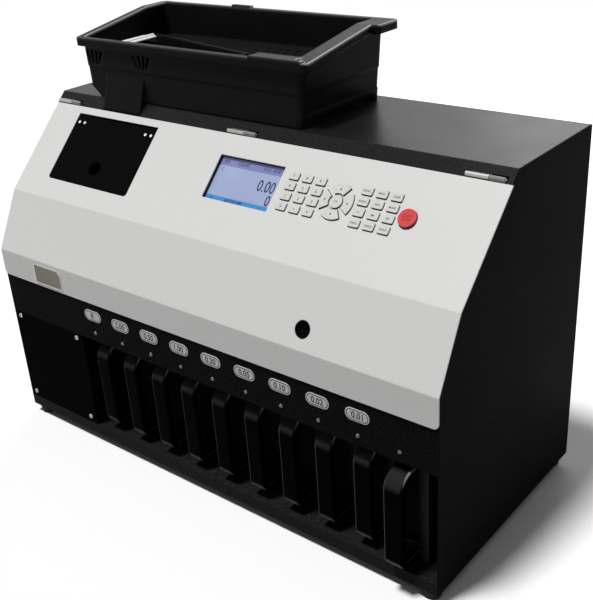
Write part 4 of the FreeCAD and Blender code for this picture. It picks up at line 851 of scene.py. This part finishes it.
class COIN_SORTER_OT_add_key_legends(Operator):
    """Adds what is printed on the keys"""
    bl_idname = "coin_sorter.add_key_legends"
    bl_label = "Add the keys' legends"

    def execute(self, context):
        settings = context.scene.coin_sorter.legend
        weight = 0.06 * MM
        ink = printing_ink("key_ink", settings.ink)
        black = printing_ink("arrow_ink", "141414")
        dark_red = printing_ink("stop_ink", settings.stop_ink)
        for digit in DIGIT_KEYS:
            self.print_words("digit_" + digit, ink, digit, settings.digit_height, 0.9, weight)
        self.print_words("digit_point", ink, ".", settings.digit_height * 2)
        self.print_arrow("digit_enter", ink, settings.arrow, 0)
        for number, word in enumerate(FUNCTION_WORDS, start=1):
            self.print_words(f"function_{number:02d}", ink, word, settings.word_height, 0.86, weight)
        for side, turn in (("right", 0), ("up", 90), ("left", 180), ("down", 270)):
            self.print_arrow("arrow_" + side, black, settings.arrow, turn)
        self.print_words("ok", ink, "OK", settings.digit_height * 0.8, 0.9)
        self.print_words("stop", dark_red, "START\nSTOP", settings.word_height * 1.3, 0.9, 0.05 * MM, 0.85)
        return {"FINISHED"}

    def print_words(self, name, ink, words, height, *style):
        """Prints words on a key, with add_text's stretch, weight and spacing."""
        self.print_on(name, ink, add_text("legend_" + name, words, height, LEGEND_THICKNESS, *style))

    def print_arrow(self, name, ink, size, degrees):
        """Prints an arrow on a key, turned from pointing right."""
        self.print_on(name, ink, add_arrow("legend_" + name, size, LEGEND_THICKNESS, math.radians(degrees)))

    def print_on(self, name, ink, legend):
        """Lays a legend on the middle of a key's top."""
        key = "key_" + name
        lay_on(legend, outer_face(key, SLOPE_OUT), SLOPE_UP, SLOPE_OUT)
        fit(legend, key, "key_rubber", ink)


class COIN_SORTER_OT_add_badge_plate(Operator):
    """Adds the bare badge plate on the cover's lip"""
    bl_idname = "coin_sorter.add_badge_plate"
    bl_label = "Add the badge plate"

    def execute(self, context):
        settings = context.scene.coin_sorter.fitting
        thick = 0.8 * MM
        cut_corner = 6.0 * MM
        round_corner = 1.5 * MM
        size = (settings.badge_length, settings.badge_height, thick)
        badge = add_block("badge_plate", size, (0, 0, thick / 2))
        edit_edges(badge, lambda a, b: abs(a.z - b.z) > SAME and a.x > 0 and a.y > 0)
        bpy.ops.mesh.bevel(offset=cut_corner, segments=1, affect="EDGES")
        edit_edges(badge, lambda a, b: abs(a.z - b.z) > SAME and (a.x < 0 or a.y < 0))
        bpy.ops.mesh.bevel(offset=round_corner, segments=4, affect="EDGES")
        close_edit()
        coat(badge, brushed_metal("badge_edge", "CFCFCB", 1.2, 0.35, (0.1, 1.0, 1.0)),
             brushed_metal("badge_face", "6E6A63", 1.4, 0.5, (0.06, 1.0, 1.0)))
        edit_facing(badge, UP)
        bpy.ops.mesh.inset(thickness=0.9 * MM, depth=-0.25 * MM)
        assign(badge, 1)
        close_edit()
        soften(badge, 0.12 * MM)
        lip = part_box("front_cover")[0]
        lay_on(badge, Vector((lip.x + BADGE_IN, lip.y, lip.z + BADGE_RISE)), UP, TO_FRONT)
        fit(badge, "front_cover", "plated_steel")
        return {"FINISHED"}


class COIN_SORTER_OT_add_flap_screws(Operator):
    """Adds the four small screws at the top of the inspection flap"""
    bl_idname = "coin_sorter.add_flap_screws"
    bl_label = "Add the flap's screws"

    def execute(self, context):
        radius = context.scene.coin_sorter.fitting.flap_screw
        steel = brushed_metal("screw_zinc", "E2E2E0", 0.8, 0.25)
        middle = outer_face("inspection_flap", SLOPE_OUT)
        for number, x in enumerate(FLAP_SCREW_XS, start=1):
            screw = self.add_screw(f"flap_screw_{number}", radius)
            seat = middle + TO_RIGHT * x * MM + SLOPE_UP * FLAP_SCREW_RISE
            lay_on(screw, seat, SLOPE_UP, SLOPE_OUT)
            fit(screw, "inspection_flap", "plated_steel", steel)
        return {"FINISHED"}

    def add_screw(self, name, radius):
        """A low round head with a round driver recess."""
        height = 0.9 * MM
        bpy.ops.mesh.primitive_cylinder_add(vertices=24, radius=radius, depth=height,
                                            location=(0, 0, height / 2))
        screw = settled(name)
        edit_facing(screw, UP)
        bpy.ops.mesh.inset(thickness=radius * 0.45)
        bpy.ops.mesh.inset(thickness=radius * 0.12, depth=-0.35 * MM)
        close_edit()
        soften(screw, 0.2 * MM)
        return screw


class COIN_SORTER_OT_add_screw_recesses(Operator):
    """Adds the dark crosses of the recesses on the heads of the case screws"""
    bl_idname = "coin_sorter.add_screw_recesses"
    bl_label = "Add the screws' recesses"

    def execute(self, context):
        dark = brushed_metal("recess_steel", "3A3A39", 0.8, 0.5)
        for number, (head, out) in enumerate(self.heads(), start=1):
            cross = self.add_cross(f"screw_recess_{number:02d}")
            lay_on(cross, head, UP, out)
            fit(cross, "cabinet", "plated_steel", dark)
        return {"FINISHED"}

    def heads(self):
        """The middle of each screw's head and the way it faces."""
        head_size = 10.0 * MM
        found = []
        for out in (TO_FRONT, TO_REAR):
            groups = []
            for point in outer_points("case_screws", out):
                near = [group for group in groups if (group[0] - point).length < head_size]
                if near:
                    near[0].append(point)
                else:
                    groups.append([point])
            for group in groups:
                low = Vector(map(min, zip(*group)))
                high = Vector(map(max, zip(*group)))
                found.append(((low + high) / 2, out))
        return found

    def add_cross(self, name):
        """A thin cross."""
        width = 0.8 * MM
        arm = 1.2 * MM
        cross = add_block(name, (width, width, 0.1 * MM))
        for side in (TO_RIGHT, -TO_RIGHT, TO_REAR, TO_FRONT):
            edit_faces(cross, lambda middle, normal: normal.dot(side) > FACING and middle.dot(side) < width
                       and middle.cross(side).length < width / 4)
            extrude(side * arm)
        close_edit()
        return cross


class COIN_SORTER_OT_add_hopper_bracket(Operator):
    """Adds the folded steel bracket at the left of the hopper, coated near-white as a painted reflection"""
    bl_idname = "coin_sorter.add_hopper_bracket"
    bl_label = "Add the hopper's bracket"

    # The bracket's face leans back and looks up and to the right: its ways up the slope and out of the sheet
    face_up = Vector((-0.8, 0, 0.6))
    face_out = Vector((0.6, 0, 0.8))

    def execute(self, context):
        settings = context.scene.coin_sorter.fitting
        sheet = 1.2 * MM
        length = settings.bracket_length
        width = settings.bracket_width
        bracket = add_block("hopper_bracket", (sheet, length, width), (sheet / 2, length / 2, width / 2))
        edit_points(bracket, lambda point: point.z > width / 2)
        bpy.ops.transform.translate(value=(self.face_up - UP) * width)
        edit_facing(bracket, -UP)
        extrude((0, 0, -sheet))
        edit_faces(bracket, lambda middle, normal: normal.x < -FACING and middle.z < 0)
        extrude((-settings.bracket_foot, 0, 0))
        close_edit()
        self.press_groove(bracket, TO_RIGHT * sheet, width * 0.62)
        soften(bracket, 0.12 * MM)
        low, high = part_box("hopper_tray")
        # The foot reaches the hopper's left wall, a little below the rim
        fold = Vector((low.x + BRACKET_IN, high.y - BRACKET_FORWARD, high.z - BRACKET_DROP))
        set_place(bracket, Matrix.Translation(fold))
        # The near-white coat is a painted reflection, standing for the light that the steel bracket reflects
        fit(bracket, "cabinet", "white_powder_coat",
            powder_coat("bracket_powder_coat", "F2F2F0", "E4E4E2", 1.2, 0.02, 0.45, 0.3))
        return {"FINISHED"}

    def press_groove(self, bracket, foot, line):
        """A groove along the leaning face, at a height up its slope from its foot."""
        half = 0.4 * MM
        depth = 0.5 * MM
        for side in (-half, half):
            score(bracket, foot + self.face_up * (line + side), self.face_up)
        edit_faces(bracket, lambda middle, normal: normal.dot(self.face_out) > FACING
                   and abs((middle - foot).dot(self.face_up) - line) < half)
        extrude(self.face_out * -depth)
        close_edit()


class COIN_SORTER_OT_add_inlet_fittings(Operator):
    """Adds the mains inlet's pins and the rocker's marks"""
    bl_idname = "coin_sorter.add_inlet_fittings"
    bl_label = "Add the inlet's fittings"

    def execute(self, context):
        socket = outer_face("power_unit", TO_REAR) - TO_RIGHT * SOCKET_SHIFT
        nickel = brushed_metal("nickel_pin", "CBC7BC", 0.8, 0.28, (1.0, 0.1, 1.0))
        for name, x, z in INLET_PINS:
            pin = self.add_pin("inlet_pin_" + name)
            lay_on(pin, socket + Vector((x * MM, -SOCKET_DEPTH, z * MM)), UP, TO_REAR)
            fit(pin, "cabinet", "plated_steel", nickel)
        self.add_marks()
        return {"FINISHED"}

    def add_pin(self, name):
        """A flat blade with a tapered tip."""
        length = 13.0 * MM
        tip = 1.2 * MM
        pin = add_block(name, (2.0 * MM, 4.6 * MM, length), (0, 0, length / 2))
        edit_facing(pin, UP)
        extrude((0, 0, tip))
        bpy.ops.transform.resize(value=(0.45, 0.6, 1))
        close_edit()
        soften(pin, 0.15 * MM)
        return pin

    def add_marks(self):
        """The line and the ring that tell on from off, each on its half of the rocker."""
        white = printing_ink("switch_ink", "E8E8E6")
        rocker = frame["nodes"]["power_switch"]
        low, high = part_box("power_switch")
        middle = (low + high) / 2
        quarter = (high.z - low.z) / 4
        for name, words, rise in (("switch_mark_on", "I", quarter), ("switch_mark_off", "O", -quarter)):
            mark = add_text(name, words, 3.4 * MM, LEGEND_THICKNESS)
            behind = Vector((middle.x, high.y + quarter, middle.z + rise))
            found, spot, out, _ = rocker.ray_cast(behind, TO_FRONT)
            if not found:
                raise RuntimeError("The rocker has no face for its mark")
            lay_on(mark, spot, TO_RIGHT.cross(out), out)
            fit(mark, "power_switch", "black_moulding", white)


class COIN_SORTER_OT_add_studio(Operator):
    """Adds the floor, the lights and the camera"""
    bl_idname = "coin_sorter.add_studio"
    bl_label = "Add the studio"

    def execute(self, context):
        settings = context.scene.coin_sorter.studio
        context.scene.view_settings.view_transform = "Standard"
        self.add_floor(settings)
        self.add_sun(settings.sun)
        self.add_soft_box("sheen_light", (0.0, 2.3, 1.25), (1.9, 1.2), settings.sheen_power)
        self.add_soft_box("rim_light", (-0.95, 2.0, 1.65), (1.6, 0.8), settings.rim_power)
        self.add_air(context, settings.ambient)
        self.add_camera(context, settings)
        return {"FINISHED"}

    def add_floor(self, settings):
        """A wide level floor, divided into squares."""
        bpy.ops.mesh.primitive_plane_add(size=40)
        floor = named("studio_floor")
        open_for_edit(floor, "FACE", "SELECT")
        bpy.ops.mesh.subdivide(number_cuts=3)
        close_edit()
        coat(floor, studio_floor(settings.floor, settings.floor_glow))

    def add_sun(self, strength):
        """An even light from above and in front, as broad as a large lamp."""
        light = self.add_light("SUN", "key_sun", (0, 0, 0), Vector((-0.15, -0.25, 0.955)), strength)
        light.angle = math.radians(10)

    def add_soft_box(self, name, place, size, power):
        """A soft box that faces the machine, of a width and a height in metres."""
        machine = Vector((0, 0, 0.4))
        light = self.add_light("AREA", name, place, Vector(place) - machine, power)
        light.shape = "RECTANGLE"
        light.size, light.size_y = size

    def add_light(self, kind, name, place, back, energy):
        """A light at a place, with the way from what it lights back to it."""
        turn = back.to_track_quat("Z", "Y").to_euler()
        bpy.ops.object.light_add(type=kind, location=place, rotation=turn)
        light = named(name).data
        light.energy = energy
        return light

    def add_air(self, context, ambient):
        """A dim even light from all round, and a white backdrop above the floor."""
        world = bpy.data.worlds.new("studio_air")
        context.scene.world = world
        world.use_nodes = True
        tree = world.node_tree
        tree.nodes.clear()
        strength = add_node(tree, "ShaderNodeMapRange", {"To Min": ambient}, {"Value": shown_rays(tree)})
        air = add_node(tree, "ShaderNodeBackground", {"Color": (1.0, 1.0, 1.0, 1.0)},
                       {"Strength": strength.outputs["Result"]})
        add_node(tree, "ShaderNodeOutputWorld", {}, {"Surface": air.outputs["Background"]})

    def add_camera(self, context, settings):
        """The photograph's camera."""
        axes = (Matrix.Rotation(settings.azimuth, 3, "Z")
                @ Matrix.Rotation(math.pi / 2 - settings.elevation, 3, "X")
                @ Matrix.Rotation(settings.roll, 3, "Z"))
        bpy.ops.object.camera_add(location=settings.camera_place, rotation=axes.to_euler())
        camera = named("photo_camera")
        camera.data.lens = settings.lens
        camera.data.sensor_width = 36.0
        camera.data.clip_end = 100.0
        context.scene.camera = camera


PIECES = (
    COIN_SORTER_OT_finish_nodes,
    COIN_SORTER_OT_add_rail_labels,
    COIN_SORTER_OT_add_lamps,
    COIN_SORTER_OT_add_screen,
    COIN_SORTER_OT_add_key_legends,
    COIN_SORTER_OT_add_badge_plate,
    COIN_SORTER_OT_add_flap_screws,
    COIN_SORTER_OT_add_screw_recesses,
    COIN_SORTER_OT_add_hopper_bracket,
    COIN_SORTER_OT_add_inlet_fittings,
    COIN_SORTER_OT_add_studio,
)


class COIN_SORTER_PT_dressing(Panel):
    """Lists the machine's pieces and their settings"""
    bl_label = "Coin sorter"
    bl_space_type = "VIEW_3D"
    bl_region_type = "UI"
    bl_category = "Coin Sorter"

    def draw(self, context):
        layout = self.layout
        settings = context.scene.coin_sorter
        for operator in PIECES:
            layout.operator(operator.bl_idname)
        for group in settings.__annotations__:
            box = layout.box()
            values = getattr(settings, group)
            for name in values.__annotations__:
                box.prop(values, name)


CLASSES = (
    FinishSettings,
    LabelSettings,
    LampSettings,
    ScreenSettings,
    LegendSettings,
    FittingSettings,
    StudioSettings,
    CoinSorterSettings,
    *PIECES,
    COIN_SORTER_PT_dressing,
)


def register():
    for kind in CLASSES:
        bpy.utils.register_class(kind)
    bpy.types.Scene.coin_sorter = PointerProperty(type=CoinSorterSettings)


def unregister():
    del bpy.types.Scene.coin_sorter
    for kind in reversed(CLASSES):
        bpy.utils.unregister_class(kind)


def main():
    register()
    for operator in PIECES:
        module, name = operator.bl_idname.split(".")
        getattr(getattr(bpy.ops, module), name)()


if __name__ == "__main__":
    main()
